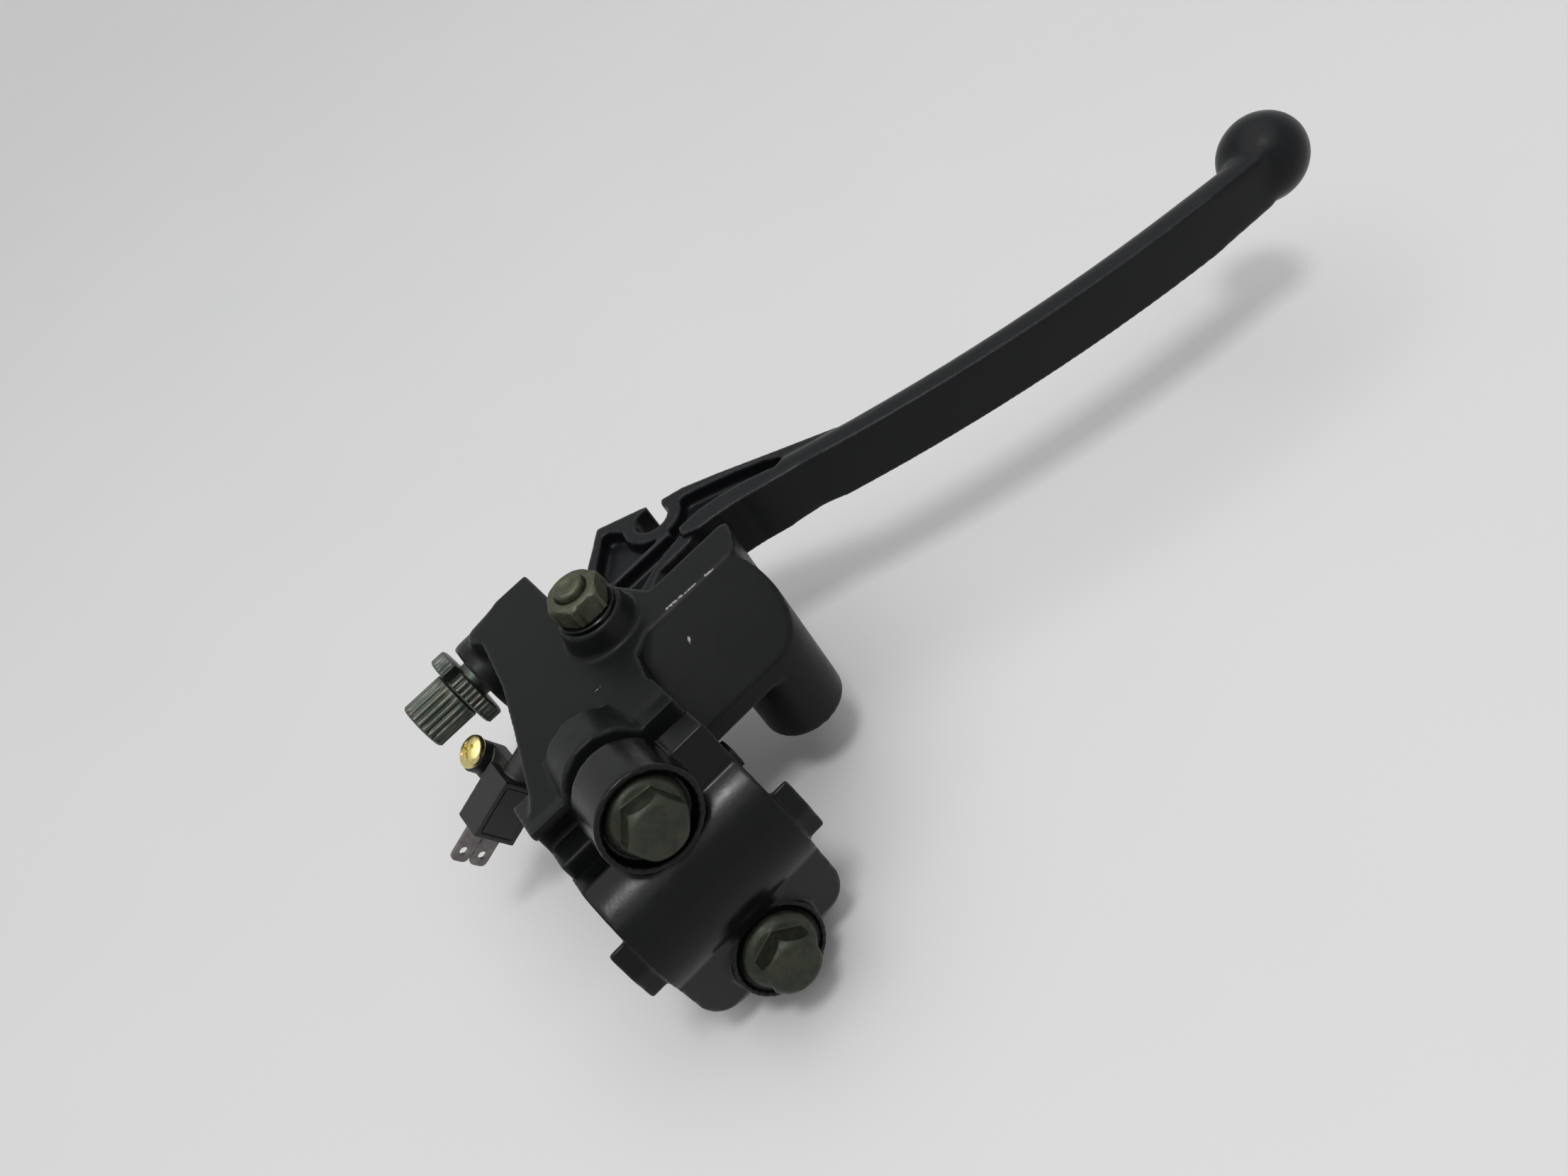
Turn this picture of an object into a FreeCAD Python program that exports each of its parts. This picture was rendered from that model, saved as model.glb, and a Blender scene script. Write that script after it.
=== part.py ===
import FreeCAD, Part
import math
import os
import Sketcher

# Left-hand cable lever holder for a handlebar, in millimetres.
# Origin: centre of the handlebar bore. +X runs along the bar towards the lever's ball end,
# +Z is parallel to the lever's pivot, with the pivot nut on top, and +Y points away from the bar.
# The clamp is tilted about the bar, so its pieces are drawn upright and then turned by clamp_tilt.

doc = FreeCAD.newDocument("lever_holder")
sheet = doc.addObject("Spreadsheet::Sheet", "Sizes")

SIZES = {
    # handlebar clamp
    "bar_diameter": 22.2,
    "clamp_width": 32.7,
    "clamp_tilt": 13.5,
    "foot_rounding": 8.5,
    "bolt_spacing": 38.2,
    "bar_clearance": 1.0,
    "seam_gap": 0.5,
    "clamp_foot": 26.0,
    "clamp_shoulder": 23.0,
    "shoulder_setback": 3.0,
    "clamp_back": 15.6,
    "clamp_boss_diameter": 18.8,
    "bolt_boss_length": 14.0,
    "pocket_depth": 7.0,
    "pocket_width": 7.8,
    "land_width": 4.9,
    # clamp cap
    "arch_wall": 4.1,
    "cap_boss_diameter": 18.6,
    "cap_seat": 11.0,
    "spotface_depth": 2.7,
    "spotface_diameter": 16.2,
    "cap_foot_height": 6.0,
    "cap_shoulder_height": 8.0,
    "cap_shoulder_inset": 1.0,
    "lug_length": 3.7,
    "lug_width": 11.8,
    "lug_height": 2.2,
    "lug_drop": 0.7,
    # clamp bolts, flanged, with a hexagon head
    "bolt_diameter": 6.0,
    "bolt_length": 23.0,
    "flange_diameter": 14.2,
    "flange_thickness": 1.6,
    "head_flats": 10.0,
    "head_height": 5.3,
    "bolt_hole_gap": 0.3,
    "thread_gap": 0.05,
    # lever and its pivot
    "pivot_x": 17.0,
    "pivot_y": 37.0,
    "lever_mid": 8.4,
    "root_thickness": 10.0,
    "ear_gap": 0.3,
    "upper_ear": 7.3,
    "lower_ear": 6.1,
    "pivot_diameter": 6.0,
    "bush_wall": 1.0,
    "running_gap": 0.05,
    "hub_diameter": 18.0,
    "pivot_boss_diameter": 13.0,
    "pivot_boss_base": 15.4,
    "pivot_boss_height": 5.0,
    "washer_diameter": 12.0,
    "washer_thickness": 1.0,
    "nut_height": 5.0,
    "pivot_head_height": 4.0,
    "pivot_tip": 1.5,
    "rib_width": 1.2,
    "root_web": 3.0,
    "nipple_x": 41.0,
    "nipple_y": 62.8,
    "nipple_diameter": 7.6,
    "nipple_collar": 3.2,
    "nipple_mouth_width": 3.5,
    "cable_slot": 2.4,
    "heel_x": 13.5,
    "heel_radius": 5.0,
    "blade_height": 13.0,
    "blade_depth": 8.0,
    "blade_rounding": 5.0,
    "blade_radius": 330.0,
    "blade_offset_x": 37.7,
    "blade_offset_y": 8.95,
    "blade_start_angle": -117.6,
    "blade_sweep_angle": 21.6,
    "ball_inset": 7.3,
    "ball_lead_angle": 0.84,
    "ball_diameter": 18.6,
    # perch plate, tongue and mirror boss
    "plate_front": 67.5,
    "tongue_length": 47.0,
    "tongue_back": 27.5,
    "tongue_width": 8.0,
    "mirror_x": 36.2,
    "mirror_y": 22.0,
    "mirror_boss_diameter": 17.4,
    "mirror_boss_end": 15.5,
    "mirror_thread_diameter": 8.8,
    "mirror_thread_depth": 22.0,
    "wall_thickness": 4.0,
    # cable adjuster
    "cable_y": 70.0,
    "cable_boss_y": 68.5,
    "cable_boss_diameter": 17.0,
    "cable_boss_face": 7.0,
    "cable_boss_length": 11.0,
    "adjuster_diameter": 8.0,
    "adjuster_head_diameter": 11.0,
    "adjuster_head_length": 10.0,
    "adjuster_gap": 0.3,
    "ring_backoff": 1.5,
    "cable_seat_diameter": 5.2,
    "cable_seat_depth": 7.0,
    "cable_diameter": 2.4,
    "ring_diameter": 17.4,
    "ring_thickness": 3.6,
    "adjuster_slot": 2.0,
    # brake light switch
    "switch_x": -20.3,
    "switch_y": 45.4,
    "switch_z": -0.5,
    "switch_tilt": 20.0,
    "case_length": 12.5,
    "case_width": 8.0,
    "case_height": 9.6,
    "case_wall": 1.2,
    "bridge_gap": 0.4,
    "nose_diameter": 6.2,
    "nose_length": 17.6,
    "plunger_diameter": 3.0,
    "plunger_reach": 6.25,
    "heel_gap": 0.2,
    "switch_ear_x": 4.4,
    "switch_ear_y": 9.8,
    "switch_ear_diameter": 7.0,
    "switch_ear_height": 6.5,
    "switch_pad": 4.0,
    "screw_diameter": 3.0,
    "screw_head_diameter": 5.8,
    "screw_head_height": 2.3,
    "terminal_width": 4.0,
    "terminal_thickness": 0.8,
    "terminal_reach": 7.5,
    "terminal_pitch": 4.4,
    "terminal_hole": 1.8,
    "spring_diameter": 4.4,
    "spring_wire": 0.45,
}
for row, (alias, value) in enumerate(SIZES.items(), start=1):
    sheet.set(f"A{row}", alias)
    sheet.set(f"B{row}", str(value))
    sheet.setAlias(f"B{row}", alias)
doc.recompute()


def expand(text):
    """Write every size alias in an expression as a cell of the sheet."""
    words = []
    word = ""
    for letter in text + " ":
        if letter.isalnum() or letter == "_":
            word += letter
            continue
        words.append("Sizes." + word if word in SIZES else word)
        words.append(letter)
        word = ""
    return "".join(words).strip()


def bind(thing, **formulas):
    """Bind properties to formulas of the sheet; a double underscore stands for a dot."""
    for name, formula in formulas.items():
        thing.setExpression(name.replace("__", "."), expand(formula))
    return thing


def value_of(formula):
    """The number that a formula gives now."""
    result = sheet.evalExpression(expand(formula))
    return float(getattr(result, "Value", result))


def box(name, x, y, z, length, width, height):
    thing = doc.addObject("Part::Box", name)
    bind(thing, Length=length, Width=width, Height=height)
    return bind(thing, Placement__Base__x=x, Placement__Base__y=y, Placement__Base__z=z)


def rod(name, radius, length, x="0", y="0", z="0", along="z"):
    """A cylinder that starts at x, y, z and runs along +X, +Y or +Z."""
    thing = doc.addObject("Part::Cylinder", name)
    axis = {"x": (0, 1, 0, 90), "y": (1, 0, 0, -90), "z": (0, 0, 1, 0)}[along]
    thing.Placement.Rotation = FreeCAD.Rotation(FreeCAD.Vector(*axis[:3]), axis[3])
    bind(thing, Radius=radius, Height=length)
    return bind(thing, Placement__Base__x=x, Placement__Base__y=y, Placement__Base__z=z)


def fuse(name, *things):
    thing = doc.addObject("Part::MultiFuse", name)
    thing.Shapes = list(things)
    return thing


def cut(name, base, *tools):
    thing = doc.addObject("Part::Cut", name)
    thing.Base = base
    thing.Tool = tools[0] if len(tools) == 1 else fuse(name + "_tools", *tools)
    return thing


def common(name, first, second):
    thing = doc.addObject("Part::Common", name)
    thing.Base = first
    thing.Tool = second
    return thing


def tilted(thing, axis, angle, x="0", y="0", z="0"):
    """Turn a piece about one axis through x, y, z by a formula in degrees."""
    thing.Placement.Rotation = FreeCAD.Rotation(FreeCAD.Vector(*axis), 1)
    bind(thing, Placement__Rotation__Angle=angle)
    return bind(thing, Placement__Base__x=x, Placement__Base__y=y, Placement__Base__z=z)


PLANES = {
    "xy": FreeCAD.Rotation(),
    "xz": FreeCAD.Rotation(FreeCAD.Vector(1, 0, 0), 90),
    "yz": FreeCAD.Rotation(FreeCAD.Vector(1, 1, 1), 120),
}


def outline(name, plane, corners, arcs=None):
    """A closed sketch through corners given as formulas; arcs names a side's radius formula.

    An arc's centre is on the left of its side, or on the right where its formula starts with a minus.
    """
    arcs = arcs or {}
    sketch = doc.addObject("Sketcher::SketchObject", name)
    sketch.Placement.Rotation = PLANES[plane]
    points = [FreeCAD.Vector(value_of(a), value_of(b), 0) for a, b in corners]
    count = len(points)
    for side, start in enumerate(points):
        end = points[(side + 1) % count]
        if side in arcs:
            radius = value_of(arcs[side].lstrip("-"))
            chord = end - start
            across = FreeCAD.Vector(-chord.y, chord.x, 0).normalize()
            rise = math.sqrt(radius**2 - chord.Length**2 / 4) * (-1 if arcs[side][0] == "-" else 1)
            centre = (start + end) * 0.5 + across * rise
            first, last = (end, start) if arcs[side][0] == "-" else (start, end)
            low = math.atan2(first.y - centre.y, first.x - centre.x)
            turn = (math.atan2(last.y - centre.y, last.x - centre.x) - low) % (2 * math.pi)
            circle = Part.Circle(centre, FreeCAD.Vector(0, 0, 1), radius)
            sketch.addGeometry(Part.ArcOfCircle(circle, low, low + turn))
        else:
            sketch.addGeometry(Part.LineSegment(start, end))
    for side, start in enumerate(points):
        flipped = side in arcs and (sketch.Geometry[side].StartPoint - start).Length > 0.001
        last = (side - 1) % count
        turned = last in arcs and (sketch.Geometry[last].EndPoint - start).Length > 0.001
        sketch.addConstraint(
            Sketcher.Constraint("Coincident", last, 1 if turned else 2, side, 2 if flipped else 1))
    for side, (a, b) in enumerate(corners):
        end = 2 if side in arcs and (sketch.Geometry[side].StartPoint - points[side]).Length > 0.001 else 1
        for kind, formula, number in (("DistanceX", a, points[side].x), ("DistanceY", b, points[side].y)):
            index = sketch.addConstraint(Sketcher.Constraint(kind, -1, 1, side, end, number))
            sketch.setExpression(f"Constraints[{index}]", expand(formula))
    for side, formula in arcs.items():
        size = formula.lstrip("-")
        index = sketch.addConstraint(Sketcher.Constraint("Radius", side, value_of(size)))
        sketch.setExpression(f"Constraints[{index}]", expand(size))
    return sketch


def extrude(name, sketch, length, start="0"):
    """Push a sketch along its own normal, from start, by length."""
    thing = doc.addObject("Part::Extrusion", name)
    thing.Base = sketch
    thing.DirMode = "Normal"
    thing.Solid = True
    return bind(thing, LengthFwd=f"({start}) + ({length})", LengthRev=f"-({start})")


# Heights and places that several pieces share, as formulas of the sheet.
BORE = "bar_diameter / 2"
HALF_WIDTH = "clamp_width / 2"
HALF_SPACING = "bolt_spacing / 2"
ROOT_TOP = "(lever_mid + root_thickness / 2)"
ROOT_BOTTOM = "(lever_mid - root_thickness / 2)"
SLOT_TOP = "(lever_mid + root_thickness / 2 + ear_gap)"
SLOT_BOTTOM = "(lever_mid - root_thickness / 2 - ear_gap)"
PLATE_TOP = "(lever_mid + root_thickness / 2 + ear_gap + upper_ear)"
PLATE_BOTTOM = "(lever_mid - root_thickness / 2 - ear_gap - lower_ear)"
BOSS_TOP = PLATE_TOP + " + pivot_boss_height"
PIVOT = ("pivot_x", "pivot_y")


def hexagon(name, flats, height, x="0", y="0", z="0"):
    thing = doc.addObject("Part::Prism", name)
    thing.Polygon = 6
    bind(thing, Circumradius=f"{flats} / (2 * cos(30))", Height=height)
    return bind(thing, Placement__Base__x=x, Placement__Base__y=y, Placement__Base__z=z)


def carried(thing, axis, angle, x="0", y="0", z="0"):
    """Turn and move a piece that already has a place of its own."""
    holder = doc.addObject("Part::Compound", thing.Name + "_carried")
    holder.Links = [thing]
    return tilted(holder, axis, angle, x, y, z)


def upright(thing):
    """Turn a clamp piece, drawn upright, to the clamp's own tilt about the bar."""
    return carried(thing, (1, 0, 0), "-clamp_tilt")


def foot_corners(half, reach):
    """The waste that rounds the two lower corners of a clamp half, seen from the front."""
    waste = []
    for side, sign in (("left", "-"), ("right", "")):
        middle = f"{sign}({HALF_WIDTH} - foot_rounding)"
        start = f"-{HALF_WIDTH} - 1" if sign else f"{HALF_WIDTH} - foot_rounding"
        waste.append(cut(
            f"{half}_foot_corner_{side}",
            box(f"{half}_foot_block_{side}", start, f"-{reach}", "-clamp_foot - 3", "foot_rounding + 1",
                f"2 * {reach}", "foot_rounding + 3"),
            rod(f"{half}_foot_round_{side}", "foot_rounding", f"2 * {reach} + 2", middle, f"-{reach} - 1",
                "foot_rounding - clamp_foot", "y")))
    return waste


def perch_clamp():
    """The perch's half of the handlebar clamp, drawn upright with the bar along X."""
    profile = outline("clamp_profile", "yz", [
        ("seam_gap", "-clamp_foot"),
        ("clamp_back * 0.62", "-clamp_foot"),
        ("clamp_back", "-clamp_back * 0.6"),
        ("clamp_back + 2", "clamp_back * 0.5"),
        ("clamp_back - 1", "clamp_shoulder"),
        ("shoulder_setback", "clamp_shoulder"),
        ("shoulder_setback", f"{BORE} + land_width"),
        ("seam_gap", f"{BORE} + land_width"),
    ])
    half = extrude("clamp_half", profile, "clamp_width", f"-{HALF_WIDTH}")
    upper = rod("clamp_boss_upper", "clamp_boss_diameter / 2", "bolt_boss_length - shoulder_setback",
                y="shoulder_setback", z=HALF_SPACING, along="y")
    lower = rod("clamp_boss_lower", "clamp_boss_diameter / 2", "bolt_boss_length - seam_gap",
                y="seam_gap", z=f"-{HALF_SPACING}", along="y")
    solid = fuse("clamp_solid", half, upper, lower)
    pocket = box("shoulder_pocket", f"-{HALF_WIDTH} - 1", "-1", f"{BORE} + land_width",
                 "pocket_width + 1", "pocket_depth + 1", f"clamp_shoulder - {BORE} - land_width - 2")
    return upright(cut("perch_clamp", solid, pocket, *foot_corners("perch", "40")))


def plate_corners():
    """The plate from above: clamp side, cable side, front, pivot, tongue and back."""
    return [
        (f"-{HALF_WIDTH} + 2", "clamp_back - 3"),
        ("-12.7", "clamp_back + 1"),
        ("-7.6", "32.6"),
        ("-4", "pivot_y + 8"),
        ("-1.5", "pivot_y + 23"),
        ("-3.6", "cable_boss_y - 4.5"),
        ("-3.4", "plate_front"),
        ("14", "plate_front"),
        ("14", "pivot_y + 17"),
        ("pivot_x + 1", "pivot_y + hub_diameter / 2 + 0.6"),
        ("pivot_x + 7", "pivot_y + hub_diameter / 2 - 1.2"),
        ("pivot_x + 9.4", "pivot_y + 2"),
        ("pivot_x + 11", "tongue_back + tongue_width"),
        ("tongue_length - 0.8", "tongue_back + tongue_width"),
        ("tongue_length + 0.2", "tongue_back + tongue_width - 1"),
        ("tongue_length - 0.8", "tongue_back + 4"),
        ("tongue_length - 3", "tongue_back"),
        ("pivot_x + 10.5", "tongue_back"),
        ("pivot_x + 5", "tongue_back - 0.4"),
        ("pivot_x + 0.6", "tongue_back - 3.2"),
        ("pivot_x - 1.2", "tongue_back - 9.8"),
        (HALF_WIDTH, "clamp_back + 1"),
        (HALF_WIDTH, "clamp_back - 3"),
    ]


def make_perch():
    """One casting: clamp half, forked plate, tongue, mirror boss on its web, cable boss and switch pad."""
    height = f"{PLATE_TOP} - {PLATE_BOTTOM}"
    plate = extrude("plate", outline("plate_outline", "xy", plate_corners()), height, PLATE_BOTTOM)
    boss = doc.addObject("Part::Cone", "pivot_boss")
    bind(boss, Radius1="pivot_boss_base / 2", Radius2="pivot_boss_diameter / 2", Height="pivot_boss_height",
         Placement__Base__x="pivot_x", Placement__Base__y="pivot_y", Placement__Base__z=PLATE_TOP)
    mirror = rod("mirror_boss", "mirror_boss_diameter / 2", f"mirror_boss_end + {PLATE_TOP}",
                 "mirror_x", "mirror_y", "-mirror_boss_end")
    slope = extrude("mirror_slope", outline("mirror_slope_profile", "yz", [
        ("tongue_back", PLATE_TOP),
        ("mirror_y - mirror_boss_diameter / 2", "lever_mid - 2.4"),
        ("0", "lever_mid - 2.4"),
        ("0", f"{PLATE_TOP} + 5"),
        ("tongue_back", f"{PLATE_TOP} + 5"),
    ]), "mirror_boss_diameter + 4", "mirror_x - mirror_boss_diameter / 2 - 2")
    mirror_top = cut("mirror_top", mirror, slope)
    web = extrude("mirror_web", outline("mirror_web_profile", "yz", [
        ("tongue_back", PLATE_TOP),
        ("mirror_y - mirror_boss_diameter / 2", "lever_mid - 2.4"),
        ("mirror_y - mirror_boss_diameter / 2", "lever_mid - 7"),
        ("tongue_back", "lever_mid - 7"),
    ]), f"mirror_x - {HALF_WIDTH} + 2", f"{HALF_WIDTH} - 2")
    cable = rod("cable_boss", "cable_boss_diameter / 2", "cable_boss_length",
                "-cable_boss_face", "cable_boss_y", "lever_mid", "x")
    pad = extrude("switch_pad_block", outline("switch_pad_outline", "xy", [
        ("-switch_pad - switch_ear_diameter * 0.6", "switch_ear_y - switch_ear_diameter * 0.7"),
        ("case_length + 6", "switch_ear_y - switch_ear_diameter * 0.7"),
        ("case_length + 6", "switch_ear_y + switch_ear_diameter * 0.9"),
        ("-switch_pad - switch_ear_diameter * 0.2", "switch_ear_y + switch_ear_diameter * 0.9"),
    ]), "switch_pad", "-switch_pad - case_height / 2 + 3.5")
    place_switch(pad)
    solid = fuse("perch_solid", plate, boss, mirror_top, web, cable, pad, perch_clamp())
    slot_corners = [
        ("wall_thickness - 1", "pivot_y + 6"),
        ("pivot_x - hub_diameter / 2 - 1.5", "pivot_y - 4"),
        ("pivot_x - 5", "pivot_y - hub_diameter / 2 - 1"),
        ("pivot_x + 5", "pivot_y - hub_diameter / 2 - 1"),
        ("pivot_x + 9.9", "pivot_y - 4"),
        ("pivot_x + 10.2", "tongue_back + tongue_width - 0.4"),
        ("pivot_x + 12", "tongue_back + tongue_width + 0.05"),
        ("pivot_x + 60", "tongue_back + tongue_width + 0.05"),
        ("pivot_x + 60", "cable_y + cable_boss_diameter"),
        ("wall_thickness + 0.5", "cable_y + cable_boss_diameter"),
        ("wall_thickness + 0.5", "cable_y - 6"),
    ]
    slot = extrude("lever_slot", outline("lever_slot_outline", "xy", slot_corners),
                   f"{SLOT_TOP} - {SLOT_BOTTOM}", SLOT_BOTTOM)
    tools = [
        slot,
        rod("pivot_hole", "pivot_diameter / 2 + running_gap", f"{BOSS_TOP} - {PLATE_BOTTOM} + 2",
            *PIVOT, f"{PLATE_BOTTOM} - 1"),
        rod("mirror_thread", "mirror_thread_diameter / 2", "mirror_thread_depth + 1",
            "mirror_x", "mirror_y", "-mirror_boss_end - 1"),
        rod("cable_thread", "adjuster_diameter / 2 + thread_gap", "cable_boss_length + 2",
            "-cable_boss_face - 1", "cable_y", "lever_mid", "x"),
        box("cable_boss_slot", "-cable_boss_face - 1", "cable_y", "lever_mid - adjuster_slot * 0.55",
            "cable_boss_length + 2", "cable_boss_diameter", "adjuster_slot * 1.1"),
        place_switch(rod("switch_nose_hole", "nose_diameter / 2 + running_gap", "40",
                         x="case_length / 2 + 0.01", along="x")),
        place_switch(rod("switch_screw_thread", "screw_diameter / 2 + thread_gap", "30",
                         "switch_ear_x", "switch_ear_y", "-20")),
        place_switch(box("switch_case_space", "-case_length", "-case_width / 2 - 0.3",
                         "-case_height / 2 - 0.3", "1.5 * case_length + 0.3", "case_width + 0.6",
                         "case_height + 0.6")),
        upright(rod("bar_space", BORE, "clamp_width + 20", x=f"-{HALF_WIDTH} - 10", along="x")),
        upright(rod("bar_relief", f"{BORE} + bar_clearance", "20", x=HALF_WIDTH, along="x")),
    ]
    for level, sign in (("upper", ""), ("lower", "-")):
        tools.append(upright(rod(f"bolt_thread_{level}", "bolt_diameter / 2 + thread_gap",
                                 "bolt_boss_length", y="-1", z=f"{sign}{HALF_SPACING}", along="y")))
    return cut("perch_body", solid, *tools)


def place_switch(thing):
    """Carry a piece from the switch's own frame to its tilted place on the perch."""
    return carried(thing, (0, 1, 0), "-switch_tilt", "switch_x", "switch_y", "switch_z")


def make_cap():
    """The clamp's outer half: an arch over the bar, two bolt bosses, a shoulder and two side lugs."""
    radius = f"({BORE} + arch_wall)"
    arch = common("cap_arch", rod("arch_round", radius, "clamp_width", x=f"-{HALF_WIDTH}", along="x"),
                  box("arch_half", f"-{HALF_WIDTH}", f"-{radius} - 1", f"-{radius} - 1", "clamp_width",
                      f"{radius} + 1 - seam_gap", f"2 * {radius} + 1 - 1.4"))
    foot = extrude("cap_foot", outline("cap_foot_profile", "yz", [
        ("-seam_gap", f"-{BORE} + 4"),
        ("-seam_gap", "-clamp_foot"),
        ("-cap_foot_height", "-clamp_foot"),
        ("-cap_foot_height - 1.5", "-clamp_foot + 2"),
        (f"-{radius} + 2.6", "-8"),
        (f"-{radius} + 1.4", "-3"),
        (f"-{radius} + 3.5", "2"),
    ]), "clamp_width", f"-{HALF_WIDTH}")
    upper = rod("cap_boss_upper", "cap_boss_diameter / 2", "cap_seat + spotface_depth - 2 * seam_gap",
                y="-cap_seat - spotface_depth", z=HALF_SPACING, along="y")
    lower = rod("cap_boss_lower", "cap_boss_diameter / 2 - 0.3", "cap_seat + 0.8 - seam_gap",
                y="-cap_seat - 0.8", z=f"-{HALF_SPACING}", along="y")
    shoulder = box("cap_shoulder", "cap_boss_diameter / 4", "-cap_shoulder_height", f"{BORE} - 2",
                   f"{HALF_WIDTH} - cap_boss_diameter / 4", "cap_shoulder_height - 2 * seam_gap",
                   "clamp_shoulder - cap_shoulder_inset - bar_diameter / 2 + 2")
    lug = extrude("cap_lug", outline("cap_lug_profile", "yz", [
        (f"-{BORE}", "-lug_drop - lug_width / 2"),
        (f"-{BORE}", "-lug_drop + lug_width / 2"),
        (f"-{BORE} - lug_height * 0.5", "-lug_drop + lug_width / 2"),
        (f"-{BORE} - lug_height", "-lug_drop"),
        (f"-{BORE} - lug_height * 0.5", "-lug_drop - lug_width / 2"),
    ]), "clamp_width + 2 * lug_length", f"-{HALF_WIDTH} - lug_length")
    lugs = cut("cap_lugs", lug, rod("lug_relief", f"{BORE} + 0.5", "80", x="-40", along="x"))
    solid = fuse("cap_solid", arch, foot, upper, lower, shoulder, lugs)
    tools = [rod("cap_bar_space", BORE, "clamp_width + 20", x=f"-{HALF_WIDTH} - 10", along="x"),
             *foot_corners("cap", "40")]
    for level, sign in (("upper", ""), ("lower", "-")):
        tools.append(rod(f"cap_hole_{level}", "bolt_diameter / 2 + bolt_hole_gap", "30",
                         y="-25", z=f"{sign}{HALF_SPACING}", along="y"))
        tools.append(rod(f"cap_spotface_{level}", "spotface_diameter / 2", "20",
                         y="-cap_seat - 20", z=f"{sign}{HALF_SPACING}", along="y"))
    return upright(cut("clamp_cap", solid, *tools))


def make_clamp_bolt(level, sign):
    """A flanged hexagon bolt from the cap's seat into the perch's thread."""
    start = f"{sign}{HALF_SPACING}"
    flange = rod(f"flange_{level}", "flange_diameter / 2", "flange_thickness",
                 y="-cap_seat - flange_thickness", z=start, along="y")
    head = hexagon(f"head_{level}", "head_flats", "head_height + 0.1")
    head.Placement.Rotation = FreeCAD.Rotation(FreeCAD.Vector(1, 0, 0), 90)
    bind(head, Placement__Base__y="-cap_seat - flange_thickness + 0.1", Placement__Base__z=start)
    shank = rod(f"shank_{level}", "bolt_diameter / 2", "bolt_length + 0.1",
                y="-cap_seat - 0.1", z=start, along="y")
    return upright(fuse(f"clamp_bolt_{level}", flange, head, shank))


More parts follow.
